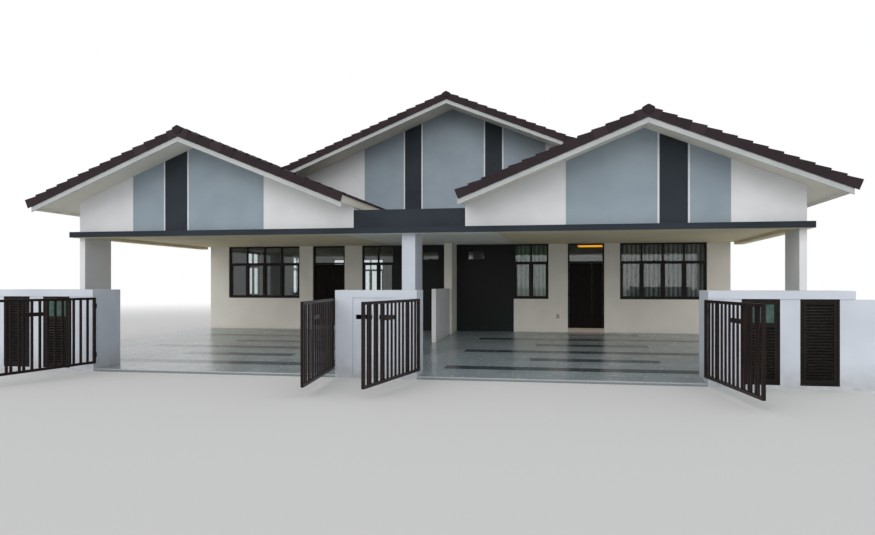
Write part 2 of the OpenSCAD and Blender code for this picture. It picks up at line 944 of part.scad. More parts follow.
// One blade, let into the stiles and tilted to shed rain to the street
module louvre_blade() {
    blade_len = louvre_leaf_w - 2 * louvre_stile + 2 * blade_tenon;
    translate([louvre_stile - blade_tenon, louvre_t / 2, 0]) rotate([blade_tilt, 0, 0])
        translate([0, -blade_w / 2, -blade_t / 2]) cube([blade_len, blade_w, blade_t]);
}

module at_louvre(k) {
    jamb_x = louvre_x + k * louvre_step + louvre_w - store_frame_w;
    translate([jamb_x - axis_clear, -fence_y - hinge_out, 0]) mirror([1, 0, 0]) children();
}

module louvre_door_right_near() { color(bronze) at_louvre(0) louvre_leaf(); }
module louvre_door_right_far() { color(bronze) at_louvre(1) louvre_leaf(); }
module louvre_door_left_near() { mirror([1, 0, 0]) louvre_door_right_near(); }
module louvre_door_left_far() { mirror([1, 0, 0]) louvre_door_right_far(); }

module door_hinges() {
    color("#55504c") both_homes() {
        for (z = leaf_hinges_z) {
            at_main_door() hinge_fixed(z);
            at_side_leaf() hinge_fixed(z);
        }
        for (k = [0, 1], z = louvre_hinges_z) at_louvre(k) hinge_fixed(z);
    }
}

// Gates. Local frame: hinge axis at the origin, the leaf along +X when closed.

gate_len = gateway_w / 2 - gate_gap / 2 - gate_set;
gate_axis_y = -fence_y + gate_t / 2;
barrel_r = 14;
barrel_h = 50;
gate_pin_r = 8;
lug_t = 12;
lug_h = 40;
plate_at = 0.6;
plate_t = 3;
bar_tenon = 1;
gate_hinges_z = [gate_z + hinge_in, gate_z + gate_h - hinge_in];

// Gaps between the bars, from the hinge stile to the free stile: 1 where a pair stands close
closeness = [0, 0, 0, 1, 0, 0, 0, 0, 0, 0, 1, 0, 1, 0, 1, 0];
bars = len(closeness) - 1;
pairs = sum_of(closeness, bars);
bar_room = gate_len - stile_set - 2 * gate_t;
wide_gap = (bar_room - bars * bar_w - pairs * pair_gap) / (bars + 1 - pairs);

function sum_of(list, last) = last < 0 ? 0 : list[last] + sum_of(list, last - 1);
function bar_x(k) =
    stile_set + gate_t + k * bar_w + sum_of(closeness, k) * pair_gap
    + (k + 1 - sum_of(closeness, k)) * wide_gap;

// Tube frame with upright bars, singly and in pairs, and a bolt plate across them
module gate_leaf() {
    half = gate_t / 2;
    translate([0, 0, gate_z]) {
        for (x = [stile_set, gate_len - gate_t])
            translate([x, -half, 0]) cube([gate_t, gate_t, gate_h]);
        for (z = [0, gate_h - gate_t])
            translate([stile_set, -half, z]) cube([gate_len - stile_set, gate_t, gate_t]);
        for (k = [0 : bars - 1])
            translate([bar_x(k), -bar_t / 2, gate_t - bar_tenon])
                cube([bar_w, bar_t, gate_h - 2 * (gate_t - bar_tenon)]);
        translate([plate_at * gate_len - plate_len / 2, -bar_t / 2 - plate_t,
                gate_h - plate_drop - plate_h / 2])
            cube([plate_len, bar_t + 2 * plate_t, plate_h]);
    }
    for (z = gate_hinges_z) translate([0, 0, z + pin_clear]) difference() {
        union() {
            cylinder(r = barrel_r, h = barrel_h);
            translate([0, -lug_t / 2, (barrel_h - lug_h) / 2])
                cube([stile_set + bar_tenon, lug_t, lug_h]);
        }
        translate([0, 0, -through])
            cylinder(r = gate_pin_r + pin_clear, h = barrel_h + 2 * through);
    }
}

// Lower half of each gate hinge: a barrel on a lug from the jamb, with its pin standing up
module gate_hinge() {
    pin_short = 6;
    for (z = gate_hinges_z) translate([0, 0, z]) {
        translate([0, 0, -barrel_h]) cylinder(r = barrel_r, h = barrel_h);
        translate([0, 0, -barrel_h]) cylinder(r = gate_pin_r, h = 2 * barrel_h - pin_short);
        translate([-gate_set, -lug_t / 2, -(barrel_h + lug_h) / 2])
            cube([gate_set, lug_t, lug_h]);
    }
}

module at_pier() { translate([pier_half + gate_set, gate_axis_y, 0]) children(); }
module at_store() {
    translate([store_x - gate_set, gate_axis_y, 0]) mirror([1, 0, 0]) children();
}

module gate_hinges() {
    color(gate_paint) both_homes() {
        at_pier() gate_hinge();
        at_store() gate_hinge();
    }
}

module gate_right_inner() {
    color(gate_paint) at_pier() rotate([0, 0, -gate_open]) gate_leaf();
}
module gate_right_outer() {
    color(gate_paint) at_store() rotate([0, 0, -gate_open]) gate_leaf();
}
module gate_left_inner() { mirror([1, 0, 0]) gate_right_inner(); }
module gate_left_outer() { mirror([1, 0, 0]) gate_right_outer(); }

house_floor();
porch_floor();
door_sills();
front_outer_walls();
front_inner_walls();
feature_walls();
party_wall();
low_party_wall();
side_walls();
rear_wall();
main_gable_wall();
grey_panels();
dark_panels();
ledge_band();
porch_ceiling();
house_ceiling();
centre_column();
outer_columns();
porch_gable_walls();
porch_side_walls();
centre_parapet();
main_roof();
porch_roofs();
ridge_caps();
barge_boards();
eaves_boards();
main_soffits();
porch_soffits();
window_frames();
window_glass();
entrance_frames();
centre_pier();
store_walls();
store_caps();
boundary_end_walls();
store_frames();
gate_hinges();
door_hinges();
entrance_door_left();
entrance_door_right();
side_leaf_left();
side_leaf_right();
gate_left_outer();
gate_left_inner();
gate_right_inner();
gate_right_outer();
louvre_door_left_near();
louvre_door_left_far();
louvre_door_right_near();
louvre_door_right_far();
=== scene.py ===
import bpy
import bmesh
import math
from mathutils import Matrix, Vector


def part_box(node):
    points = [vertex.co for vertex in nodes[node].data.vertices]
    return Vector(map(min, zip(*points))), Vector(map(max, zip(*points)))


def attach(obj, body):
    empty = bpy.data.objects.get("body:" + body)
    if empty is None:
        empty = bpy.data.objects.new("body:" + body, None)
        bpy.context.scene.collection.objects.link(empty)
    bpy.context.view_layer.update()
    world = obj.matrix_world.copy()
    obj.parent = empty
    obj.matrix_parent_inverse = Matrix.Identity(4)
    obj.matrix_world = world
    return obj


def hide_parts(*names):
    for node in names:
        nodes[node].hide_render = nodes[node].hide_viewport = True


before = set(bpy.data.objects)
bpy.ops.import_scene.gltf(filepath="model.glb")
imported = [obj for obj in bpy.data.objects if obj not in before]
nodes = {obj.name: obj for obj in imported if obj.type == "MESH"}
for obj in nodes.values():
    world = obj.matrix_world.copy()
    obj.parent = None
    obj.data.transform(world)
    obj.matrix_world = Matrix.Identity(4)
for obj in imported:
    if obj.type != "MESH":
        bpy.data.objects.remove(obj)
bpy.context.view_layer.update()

# Camera, floor and light
# A level camera at eye height across the street, turned a little to the left.
# Soft light from the sky, from high on the left and, low and faint, from beside the camera, over
# a pale floor that fades into white.
camera_turn = math.radians(10.74)
floor_radius = 260
fade_from, fade_to = 22.0, 60.0  # metres from the middle, where the floor turns white


def add_object(name, data, finish=None):
    item = bpy.data.objects.new(name, data)
    bpy.context.scene.collection.objects.link(item)
    if finish:
        data.materials.append(finish)
    return item


camera = add_object("camera", bpy.data.cameras.new("camera"))
bpy.context.scene.camera = camera
camera.location = (3.825, -16.5, 1.86)
camera.rotation_euler = (math.radians(90), 0, camera_turn)
camera.data.lens = 29.5
camera.data.sensor_width = 36
camera.data.shift_y = 0.0186
camera.data.clip_end = 600
bpy.context.scene.view_settings.view_transform = "Standard"


def linear(code):
    """An sRGB hex value as linear red, green, blue and alpha"""
    levels = [int(code[k:k + 2], 16) / 255 for k in (1, 3, 5)]
    return (*[v / 12.92 if v <= 0.04045 else ((v + 0.055) / 1.055) ** 2.4 for v in levels], 1.0)


def fill(node, inputs):
    """Fills inputs with values, sRGB hex colours, sockets or the first output of other nodes"""
    for name, value in inputs.items():
        if isinstance(value, bpy.types.Node):
            value = value.outputs[0]
        if isinstance(value, bpy.types.NodeSocket):
            node.id_data.links.new(value, node.inputs[name])
        else:
            is_colour = isinstance(value, str) and value.startswith("#")
            node.inputs[name].default_value = linear(value) if is_colour else value


def add(tree, kind, inputs={}, stops=(), **settings):
    """Adds a node with its settings, its inputs and, on a ramp, (position, sRGB hex) stops"""
    node = tree.nodes.new(kind if "Node" in kind else tree.bl_idname.removesuffix("Tree") + kind)
    for name, value in settings.items():
        setattr(node, name, value)
    fill(node, inputs)
    if stops:
        while len(node.color_ramp.elements) < len(stops):
            node.color_ramp.elements.new(0.5)
        for stop, (position, code) in zip(node.color_ramp.elements, stops):
            stop.position = position
            stop.color = linear(code)
    return node


def background_rays(tree):
    """1 for the rays that show the background: from the camera, in a reflection or through glass"""
    path = add(tree, "LightPath").outputs
    seen = add(tree, "Math", {0: path["Is Camera Ray"], 1: path["Is Glossy Ray"]}, operation="MAXIMUM")
    return add(tree, "Math", {0: seen, 1: path["Is Transmission Ray"]}, operation="MAXIMUM")


def empty_tree(owner):
    owner.use_nodes = True
    owner.node_tree.nodes.clear()
    return owner.node_tree


world = bpy.data.worlds.new("soft_sky")
bpy.context.scene.world = world
sky = empty_tree(world)
sky_light = add(sky, "Background", {"Color": "#f4f6f9", "Strength": 0.70})
sky_white = add(sky, "Background", {"Color": "#ffffff"})
sky_seen = add(sky, "MixShader", {0: background_rays(sky), 1: sky_light, 2: sky_white})
add(sky, "OutputWorld", {"Surface": sky_seen})

for name, energy, spread, colour, tilt, turn in (
        ("soft_sun", 0.95, 50, (1.0, 0.98, 0.95), 62, math.radians(-20)),
        ("soft_fill", 0.7, 40, (1.0, 1.0, 1.0), 83, camera_turn)):
    lamp = add_object(name, bpy.data.lights.new(name, "SUN"))
    lamp.data.energy = energy
    lamp.data.angle = math.radians(spread)
    lamp.data.color = colour
    lamp.rotation_euler = (math.radians(tilt), 0, turn)
    lamp.visible_glossy = False

floor_form = bmesh.new()
bmesh.ops.create_circle(floor_form, cap_ends=True, segments=96, radius=floor_radius)
floor_mesh = bpy.data.meshes.new("stage_floor")
floor_form.to_mesh(floor_mesh)
floor_form.free()
floor_paint = bpy.data.materials.new("pale_floor")
ground = empty_tree(floor_paint)
floor_reach = add(ground, "VectorMath", {0: add(ground, "TexCoord").outputs["Object"]}, operation="LENGTH")
floor_fade = add(ground, "MapRange", {
    "Value": floor_reach.outputs["Value"], "From Min": fade_from, "From Max": fade_to},
    interpolation_type="SMOOTHSTEP")
floor_far = add(ground, "Math", {0: floor_fade, 1: background_rays(ground)}, operation="MULTIPLY")
floor_shade = add(ground, "BsdfDiffuse", {"Color": "#dcdcda"})
floor_white = add(ground, "Emission", {"Color": "#ffffff"})
floor_seen = add(ground, "MixShader", {0: floor_far, 1: floor_shade, 2: floor_white})
add(ground, "OutputMaterial", {"Surface": floor_seen})
add_object("stage_floor", floor_mesh, floor_paint)

# Rendered walls, columns, pier and stores
# Brickwork and concrete with cement render, painted white by roller. Under the porches the white
# is tinted cream, a painted warm light, and along the street blue-grey, a painted open shade.
# The matt paint has a fine stipple, faint patches where it dried unevenly, and splashed grime near
# the ground.
wall_white = "#e6e7e9"
wall_grime = "#a6a39d"
porch_corner_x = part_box("front_outer_walls")[1].x - 0.002
patch = 0.9
stipple = (0.006, 2.0, 0.25, 0.0015)  # the roller leaves 2 mm dots, drawn coarser to show
splash_top = 0.5
splash_size = 0.14


def coat(name, colour, roughness, gloss=0.5, grain=None):
    """A material. The colour is made by a function of (tree, Object coordinates), which may give
    other inputs of the shader too. The grain is (size, detail, strength, depth) of a fine relief."""
    finish = bpy.data.materials.new(name)
    finish.use_nodes = True
    tree = finish.node_tree
    shader = tree.nodes["Principled BSDF"]
    place = add(tree, "TexCoord").outputs["Object"]
    made = colour(tree, place)
    fill(shader, {"Roughness": roughness, "Specular IOR Level": gloss})
    fill(shader, made if isinstance(made, dict) else {"Base Color": made})
    if grain:
        size, detail, strength, depth = grain
        relief = add(tree, "TexNoise", {"Vector": place, "Scale": 1 / size, "Detail": detail})
        fill(shader, {"Normal": add(tree, "Bump", {
            "Height": relief, "Strength": strength, "Distance": depth})})
    return finish


def clouded(size, detail, *stops, ragged=0.5):
    """A colour in soft patches, for coat()"""
    def colour(tree, place):
        cloud = add(tree, "TexNoise", {
            "Vector": place, "Scale": 1 / size, "Detail": detail, "Roughness": ragged})
        return add(tree, "ValToRGB", {"Fac": cloud}, stops)
    return colour


def along(tree, place, axis, centre=None):
    """A point's coordinate on an axis, or its distance there from a centre"""
    value = add(tree, "SeparateXYZ", {"Vector": place}).outputs[axis]
    if centre is None:
        return value
    off = add(tree, "Math", {0: value, 1: centre}, operation="SUBTRACT")
    return add(tree, "Math", {0: off}, operation="ABSOLUTE")


def beyond(tree, place, axis, limit, centre=None):
    """1 where along() is more than a limit, else 0"""
    return add(tree, "Math", {0: along(tree, place, axis, centre), 1: limit}, operation="GREATER_THAN")


def changed(tree, place, axis, limit, near, far, centre=None):
    """The near colour, and the far one beyond a limit"""
    is_far = beyond(tree, place, axis, limit, centre)
    return add(tree, "MixRGB", {"Fac": is_far, "Color1": near, "Color2": far})


def apply_finish(finish, *names):
    for name in names:
        for material_slot in nodes[name].material_slots:
            material_slot.material = finish


def painted_render(name, colour, faded, grime, gloss=0.5, painted_warmth_ends_x=None):
    def splashed(tree, place):
        paint = clouded(patch, 4.0, (0.36, faded), (0.6, colour))(tree, place)
        # Past this X the paint turns plain white, where the painted warm light stops.
        if painted_warmth_ends_x:
            paint = changed(tree, place, "X", painted_warmth_ends_x, paint, wall_white, centre=0.0)
        low = add(tree, "MapRange", {
            "Value": along(tree, place, "Z"), "From Min": splash_top, "From Max": 0.0})
        splash = add(tree, "TexNoise", {"Vector": place, "Scale": 1 / splash_size, "Detail": 6.0})
        dirt = add(tree, "Math", {0: low, 1: splash}, operation="MULTIPLY")
        return add(tree, "MixRGB", {"Fac": dirt, "Color1": paint, "Color2": grime})
    return coat(name, splashed, 0.72, gloss, stipple)


apply_finish(painted_render("painted_cement_render", wall_white, "#dfe0e2", wall_grime),
             "low_party_wall", "side_walls", "rear_wall", "main_gable_wall", "outer_columns",
             "porch_gable_walls", "porch_side_walls")
# Under the porches the white is tinted cream: a painted warm light, stopping at the porch corner.
apply_finish(painted_render("cream_white_render", "#ebe7de", "#e4e0d7", wall_grime,
                            painted_warmth_ends_x=porch_corner_x),
             "front_outer_walls", "front_inner_walls", "party_wall")
# Along the street the white is tinted blue-grey and darker: a painted open shade.
apply_finish(painted_render("cool_white_render", "#ccd2db", "#c4cad4", "#9c9b99"),
             "centre_column", "centre_pier", "store_walls", "store_caps", "boundary_end_walls")

# Gable panels and parapet
# Thin coats of render trowelled over the white one, painted blue-grey and charcoal, with the
# white wall left as a joint between them. The parapet is charcoal too.
charcoal, faded_charcoal = "#31383f", "#2b3238"
apply_finish(painted_render("painted_grey_render", "#95a2ac", "#8d9aa4", "#838d95"), "grey_panels")
apply_finish(painted_render("painted_charcoal_render", charcoal, faded_charcoal, "#3a4045", 0.25),
             "dark_panels", "centre_parapet")

# Feature walls beside the party wall
# The same render under a satin green-black paint. Low down it is greener and a little darker, a
# painted cool light bounced from the floor.


def green_black_with_painted_bounce(tree, place):
    # Greener and darker towards the floor: painted cool bounce light, not a change of paint.
    fade = add(tree, "MapRange", {"Value": along(tree, place, "Z"), "From Min": 0.4, "From Max": 2.2})
    cloud = add(tree, "TexNoise", {"Vector": place, "Scale": 1 / 0.6, "Detail": 4.0})
    both = add(tree, "Math", {0: fade, 1: cloud}, operation="ADD")
    return add(tree, "ValToRGB", {"Fac": both}, ((0.35, "#13201e"), (0.95, "#181b19")))


apply_finish(coat("satin_green_black_paint", green_black_with_painted_bounce, 0.5, 0.25, (0.006, 2.0, 0.2, 0.001)),
             "feature_walls")

# Porch ceiling, ledge band, house ceiling and soffits
# Skimmed boards and a slab under matt emulsion. The porch ceiling is off-white between the homes,
# with a clean edge in line with the feature walls, and beige past it. Its top is cement screed.
# The ledge round it has the same emulsion inside and underneath, and charcoal outside and on top.
board_patch = 1.4
pale_zone = 1.96
skin = 0.002  # the paint of the outer faces, seen as a depth
screed_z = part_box("porch_ceiling")[1].z - skin
ledge_low, ledge_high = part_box("ledge_band")
ledge_half_y = (ledge_high.y - ledge_low.y) / 2


def painted_board(name, colour, faded, gloss=0.5, change=None):
    def emulsion(tree, place):
        paint = clouded(board_patch, 3.0, (0.38, faded), (0.62, colour))(tree, place)
        return change(tree, place, paint) if change else paint
    return coat(name, emulsion, 0.8, gloss, (0.008, 2.0, 0.15, 0.001))


def screed_on_top(tree, place, paint):
    screed = clouded(board_patch, 3.0, (0.35, "#8b8984"), (0.65, "#a09e98"))(tree, place)
    paint = changed(tree, place, "X", pale_zone, "#f6f5ec", paint, centre=0.0)
    return changed(tree, place, "Z", screed_z, paint, screed)


def charcoal_outside(tree, place, paint):
    outer = clouded(board_patch, 3.0, (0.38, faded_charcoal), (0.62, charcoal))(tree, place)
    paint = screed_on_top(tree, place, paint)
    middle_y = ledge_low.y + ledge_half_y
    for axis, reach, centre in (
            ("X", ledge_high.x, 0.0), ("Y", ledge_half_y, middle_y), ("Z", ledge_high.z, None)):
        paint = changed(tree, place, axis, reach - skin, paint, outer, centre)
    return paint


apply_finish(painted_board("beige_ceiling_emulsion", "#f2e4c2", "#ebdcbb", change=screed_on_top),
             "porch_ceiling")
apply_finish(painted_board("ledge_emulsion", "#f2e4c2", "#ebdcbb", 0.25, charcoal_outside), "ledge_band")
apply_finish(painted_board("white_ceiling_emulsion", "#d8d6cf", "#d2d0c9"), "house_ceiling")
soffit_finish = painted_board("soffit_emulsion", "#f0ece0", "#e8e3d6")
apply_finish(soffit_finish, "main_soffits", "porch_soffits")

# Floor inside and the sills of the entrances
# Polished porcelain tiles of 600 mm on the floor, and a slab of cream granite at each door.
house_tile = 0.6
house_joint = 0.002


def porcelain(tree, place):
    return add(tree, "TexBrick", {
        "Vector": place, "Color1": "#bdb6aa", "Color2": "#b4ada2", "Mortar": "#8b857b", "Scale": 1.0,
        "Brick Width": house_tile, "Row Height": house_tile, "Mortar Size": house_joint}, offset=0.0)


apply_finish(coat("polished_porcelain", porcelain, 0.25), "house_floor")
granite = clouded(0.012, 5.0, (0.3, "#9a8a7c"), (0.5, "#bcae9f"), (0.7, "#cfc4b6"), ragged=0.7)
apply_finish(coat("cream_granite", granite, 0.35), "door_sills")

# Porch floor
# Glazed floor tiles, 570 by 470 mm, on a sloping bed: blue-grey, with rows of charcoal tiles as
# long and short bands in turn, and a pale cement strip along the gate line. Joints are 3 mm.
tile_wide, tile_deep = 0.5704, 0.47
tile_joint = 0.003
least_tile = 4 * tile_joint
tile_rise = 0.0025
tile_chamfer = 0.004
first_band_y = -1.685
band_every = 3
band_rows = 6
long_band, short_band = (2, 13), (5, 10)
strip_w = 0.12
floor_low, floor_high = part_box("porch_floor")
pier_low, pier_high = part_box("centre_pier")
wall_front_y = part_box("front_outer_walls")[0].y
store_back_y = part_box("store_walls")[1].y
floor_front_z = 0.04
floor_fall = (floor_high.z - floor_front_z) / (wall_front_y - floor_low.y)
gate_near = pier_high.x
gate_far = min(abs(v.co.x) for v in nodes["store_walls"].data.vertices)


def tile_rows():
    """(near edge, far edge, number counted from the first band) of every row of tiles"""
    start_y = floor_low.y + strip_w
    first = math.ceil((start_y - first_band_y) / tile_deep) - 1
    last = math.floor((wall_front_y - first_band_y) / tile_deep)
    for n in range(first, last + 1):
        near = max(first_band_y + n * tile_deep, start_y)
        far = min(first_band_y + (n + 1) * tile_deep, wall_front_y)
        if far - near > least_tile:
            yield near, far, n


def floor_tiles():
    """(x0, x1, y0, y1, kind) of every tile, the stores' places left out"""
    for near, far, n in tile_rows():
        row, rest = divmod(n, band_every)
        band = short_band if row % 2 else long_band
        banded = rest == 0 and 0 <= row < band_rows
        for side in (-1, 1):
            for m in range(math.ceil(floor_high.x / tile_wide)):
                kind = "dark" if banded and band[0] <= m < band[1] else "pale"
                x0, x1 = m * tile_wide, min((m + 1) * tile_wide, floor_high.x)
                if far <= store_back_y:
                    x1 = min(x1, gate_far)
                y0 = max(near, store_back_y) if x0 >= gate_far else near
                if min(x1 - x0, far - y0) > least_tile:
                    yield side * x0, side * x1, y0, far, kind
    strips = round((gate_far - gate_near) / (2 * tile_wide))
    strip_len = (gate_far - gate_near) / strips
    for side in (-1, 1):
        for m in range(strips):
            x0 = gate_near + m * strip_len
            yield side * x0, side * (x0 + strip_len), floor_low.y, floor_low.y + strip_w, "strip"


def solid(name, *shells, finish=None, chamfer=0.0, smooth=0):
    """An object of closed shells, each (vertices, faces), with its sharp edges chamfered or its
    faces smooth up to an angle between them"""
    verts, faces = [], []
    for shell_verts, shell_faces in shells:
        faces += [tuple(k + len(verts) for k in face) for face in shell_faces]
        verts += shell_verts
    mesh = bpy.data.meshes.new(name)
    mesh.from_pydata(verts, [], faces)
    form = bmesh.new()
    form.from_mesh(mesh)
    bmesh.ops.recalc_face_normals(form, faces=form.faces)
    form.normal_update()
    if chamfer:
        edges = [e for e in form.edges if e.calc_face_angle(0) > math.radians(30)]
        bmesh.ops.bevel(form, geom=edges, offset=chamfer, segments=1, affect="EDGES")
    form.to_mesh(mesh)
    form.free()
    if smooth:
        mesh.shade_smooth()
        mesh.set_sharp_from_angle(angle=math.radians(smooth))
    return add_object(name, mesh, finish)


def unit_tile():
    """A tile of 1 by 1 with chamfered upper edges, its bed at Z = 0"""
    rings = ((0.5, 0.0), (0.5, tile_rise * 0.6), (0.5 - tile_chamfer, tile_rise))
    corners = ((-1, -1), (1, -1), (1, 1), (-1, 1))
    verts = [(x * half, y * half, z) for half, z in rings for x, y in corners]
    faces = [(0, 3, 2, 1), (8, 9, 10, 11)]
    for ring in (0, 4):
        faces += [(ring + k, ring + (k + 1) % 4, ring + 4 + (k + 1) % 4, ring + 4 + k) for k in range(4)]
    return solid("floor_tile_shape", (verts, faces))


def node_group(name, **kinds):
    """A tree of Geometry Nodes and the sockets of its named inputs"""
    tree = bpy.data.node_groups.new(name, "GeometryNodeTree")
    tree.interface.new_socket("Geometry", in_out="OUTPUT", socket_type="NodeSocketGeometry")
    for socket_name, kind in kinds.items():
        tree.interface.new_socket(socket_name, in_out="INPUT", socket_type="NodeSocket" + kind)
    return tree, add(tree, "NodeGroupInput").outputs


def tone_and_end(tree, copies, inputs):
    """Realizes the copies, gives each a random tone, sets the material and ends the tree"""
    real = add(tree, "RealizeInstances", {"Geometry": copies})
    island = add(tree, "InputMeshIsland").outputs["Island Index"]
    chance = add(tree, "FunctionNodeRandomValue", {"ID": island, "Seed": inputs["Seed"]}, data_type="FLOAT")
    toned = add(tree, "StoreNamedAttribute", {
        "Geometry": real, "Name": "tone", "Value": chance.outputs[1]}, data_type="FLOAT", domain="POINT")
    done = add(tree, "SetMaterial", {"Geometry": toned, "Material": inputs["Finish"]})
    add(tree, "NodeGroupOutput", {"Geometry": done})


def built(name, mesh, tree, **inputs):
    """What a tree of Geometry Nodes makes of a mesh, as a plain mesh object"""
    carrier = add_object("carrier", mesh)
    layer = carrier.modifiers.new("nodes", "NODES")
    layer.node_group = tree
    for item in tree.interface.items_tree:
        if item.name in inputs:
            layer[item.identifier] = inputs[item.name]
    bpy.context.view_layer.update()
    plain = bpy.data.meshes.new_from_object(carrier.evaluated_get(bpy.context.evaluated_depsgraph_get()))
    plain.name = name
    bpy.data.objects.remove(carrier)
    return add_object(name, plain)


def mean_tone(tree, cloud, *stops):
    """A colour from the mean of a unit's random tone and a cloud"""
    tone = add(tree, "Attribute", attribute_name="tone").outputs["Fac"]
    both = add(tree, "Math", {0: tone, 1: cloud}, operation="ADD")
    half = add(tree, "Math", {0: both, 1: 0.5}, operation="MULTIPLY")
    return add(tree, "ValToRGB", {"Fac": half}, stops)


def glazed_tile(name, dark, mid, pale, roughness):
    """Each tile a little darker or paler, with a faint cloud over it and in its gloss"""
    def glaze(tree, place):
        cloud = add(tree, "TexNoise", {"Vector": place, "Scale": 1 / 0.09, "Detail": 5.0})
        worn = add(tree, "MapRange", {
            "Value": cloud, "To Min": roughness - 0.06, "To Max": roughness + 0.08})
        return {"Base Color": mean_tone(tree, cloud, (0.2, dark), (0.5, mid), (0.8, pale)),
                "Roughness": worn}
    return coat(name, glaze, roughness)


def belongs(piece, slot, *replaced, body="building"):
    """Ties a finished piece to its body and hides the CAD nodes that it stands for. The slot is not used.
    """
    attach(piece, body)
    if replaced:
        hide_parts(*replaced)


tile_tree, tile_in = node_group(
    "tiles_on_a_bed", Bed="Geometry", Tile="Object", Fall="Rotation", Finish="Material", Seed="Int")
tile_form = add(tile_tree, "ObjectInfo", {"Object": tile_in["Tile"], "As Instance": True})
tile_size = add(tile_tree, "InputNamedAttribute", {"Name": "size"}, data_type="FLOAT_VECTOR")
tone_and_end(tile_tree, add(tile_tree, "InstanceOnPoints", {
    "Points": tile_in["Bed"], "Instance": tile_form.outputs["Geometry"], "Rotation": tile_in["Fall"],
    "Scale": tile_size.outputs["Attribute"]}), tile_in)

tile_unit = unit_tile()
for name, kind, seed, *look in (
        ("porch_tiles_pale", "pale", 3, "blue_grey_glazed_tile", "#8b969b", "#939ea3", "#9ba5a9", 0.24),
        ("porch_tiles_dark", "dark", 4, "charcoal_glazed_tile", "#3b454c", "#424c53", "#4a545b", 0.24),
        ("porch_front_strip", "strip", 5, "pale_cement_strip", "#b7bab9", "#c0c3c2", "#c9cbca", 0.6)):
    spots = [tile[:4] for tile in floor_tiles() if tile[4] == kind]
    middles = [((x0 + x1) / 2, (y0 + y1) / 2) for x0, x1, y0, y1 in spots]
    bed = bpy.data.meshes.new("bed")
    bed.from_pydata([(x, y, floor_front_z + (y - floor_low.y) * floor_fall) for x, y in middles], [], [])
    sizes = bed.attributes.new("size", "FLOAT_VECTOR", "POINT")
    for size, (x0, x1, y0, y1) in zip(sizes.data, spots):
        size.vector = (abs(x1 - x0) - tile_joint, y1 - y0 - tile_joint, 1.0)
    belongs(built(name, bed, tile_tree, Tile=tile_unit, Fall=(math.atan(floor_fall), 0.0, 0.0),
                  Finish=glazed_tile(*look), Seed=seed), "porch_tile")
bpy.data.objects.remove(tile_unit)
apply_finish(coat("cement_grout", clouded(0.02, 6.0, (0.3, "#6d7478"), (0.7, "#838a8d")), 0.9),
             "porch_floor")

# Roof tiles
# Interlocking concrete tiles with two rolls, 337 mm wide and laid 316 mm apart on battens, each
# course lapping the one below. They are through-coloured aubergine under a thin acrylic coat.
pitch = math.radians(22)
slope = math.tan(pitch)
ridge_half = 0.13
upper_rows, porch_courses = 18, 14
courses = upper_rows + porch_courses
roof_low, roof_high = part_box("main_roof")
main_verge_y, rear_verge_y = roof_low.y, roof_high.y
porch_verge_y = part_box("porch_roofs")[0].y
porch_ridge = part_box("ridge_caps")[1].x - ridge_half
course = (roof_high.x - porch_ridge) / porch_courses
course_len = course / math.cos(pitch)
lead = porch_ridge - upper_rows * course  # from the ridge to the first course
ridge_slot = 0.015  # half the gap between the two slopes of a roof
main_apex = roof_high.z + ridge_slot * slope
porch_apex = main_apex - porch_ridge * slope
tile_w = 0.3372
roll_h = 0.03
tile_nose = 0.0325
tile_t = 0.028
tile_lap = 0.07
tile_end = course_len - 0.022
nose_in, nose_down = 0.014, 0.007
pan_drop = 0.012
steps_per_roll = 6
front_columns, field_columns, inner_columns = 18, 39, 22
upper_y = main_verge_y - 0.002
field_start_y = upper_y - front_columns * tile_w
across = (0.0, tile_w, 0.0)
down = (course, 0.0, -course * slope)


def roll_height(u):
    """Height of the rolls over the pans at a distance across the tile"""
    wave = 0.5 - 0.5 * math.cos(4 * math.pi * u / tile_w)
    return roll_h * wave ** 0.8


def on_slope(s, n):
    """X and Z of a point at a distance down the slope and off it"""
    return (s * math.cos(pitch) + n * math.sin(pitch), n * math.cos(pitch) - s * math.sin(pitch))


def roll_tile(rolls):
    """Closed tile with its rolls running down the slope from the origin, towards +X"""
    section = ((-tile_lap, 0.0), (tile_end - nose_in, 0.0), (tile_end, nose_down), (tile_end, tile_t),
               (-tile_lap, tile_t))
    side = len(section)
    steps = steps_per_roll * rolls
    verts = []
    for k in range(steps + 1):
        u = k / steps * rolls * tile_w / 2
        for s, drop in section:
            x, z = on_slope(s, tile_nose * s / course_len - pan_drop + roll_height(u) - drop)
            verts.append((x, u, z))
    faces = [tuple(range(side)), tuple(range(steps * side, (steps + 1) * side))]
    for a in range(0, steps * side, side):
        faces += [(a + j, a + (j + 1) % side, a + side + (j + 1) % side, a + side + j) for j in range(side)]
    return solid("roof_tile_shape", (verts, faces), smooth=38)


def through_coloured(tree, place):
    cloud = add(tree, "TexNoise", {"Vector": place, "Scale": 1 / 0.35, "Detail": 6.0, "Roughness": 0.65})
    return mean_tone(tree, cloud, (0.2, "#20161a"), (0.5, "#291d22"), (0.85, "#34272b"))


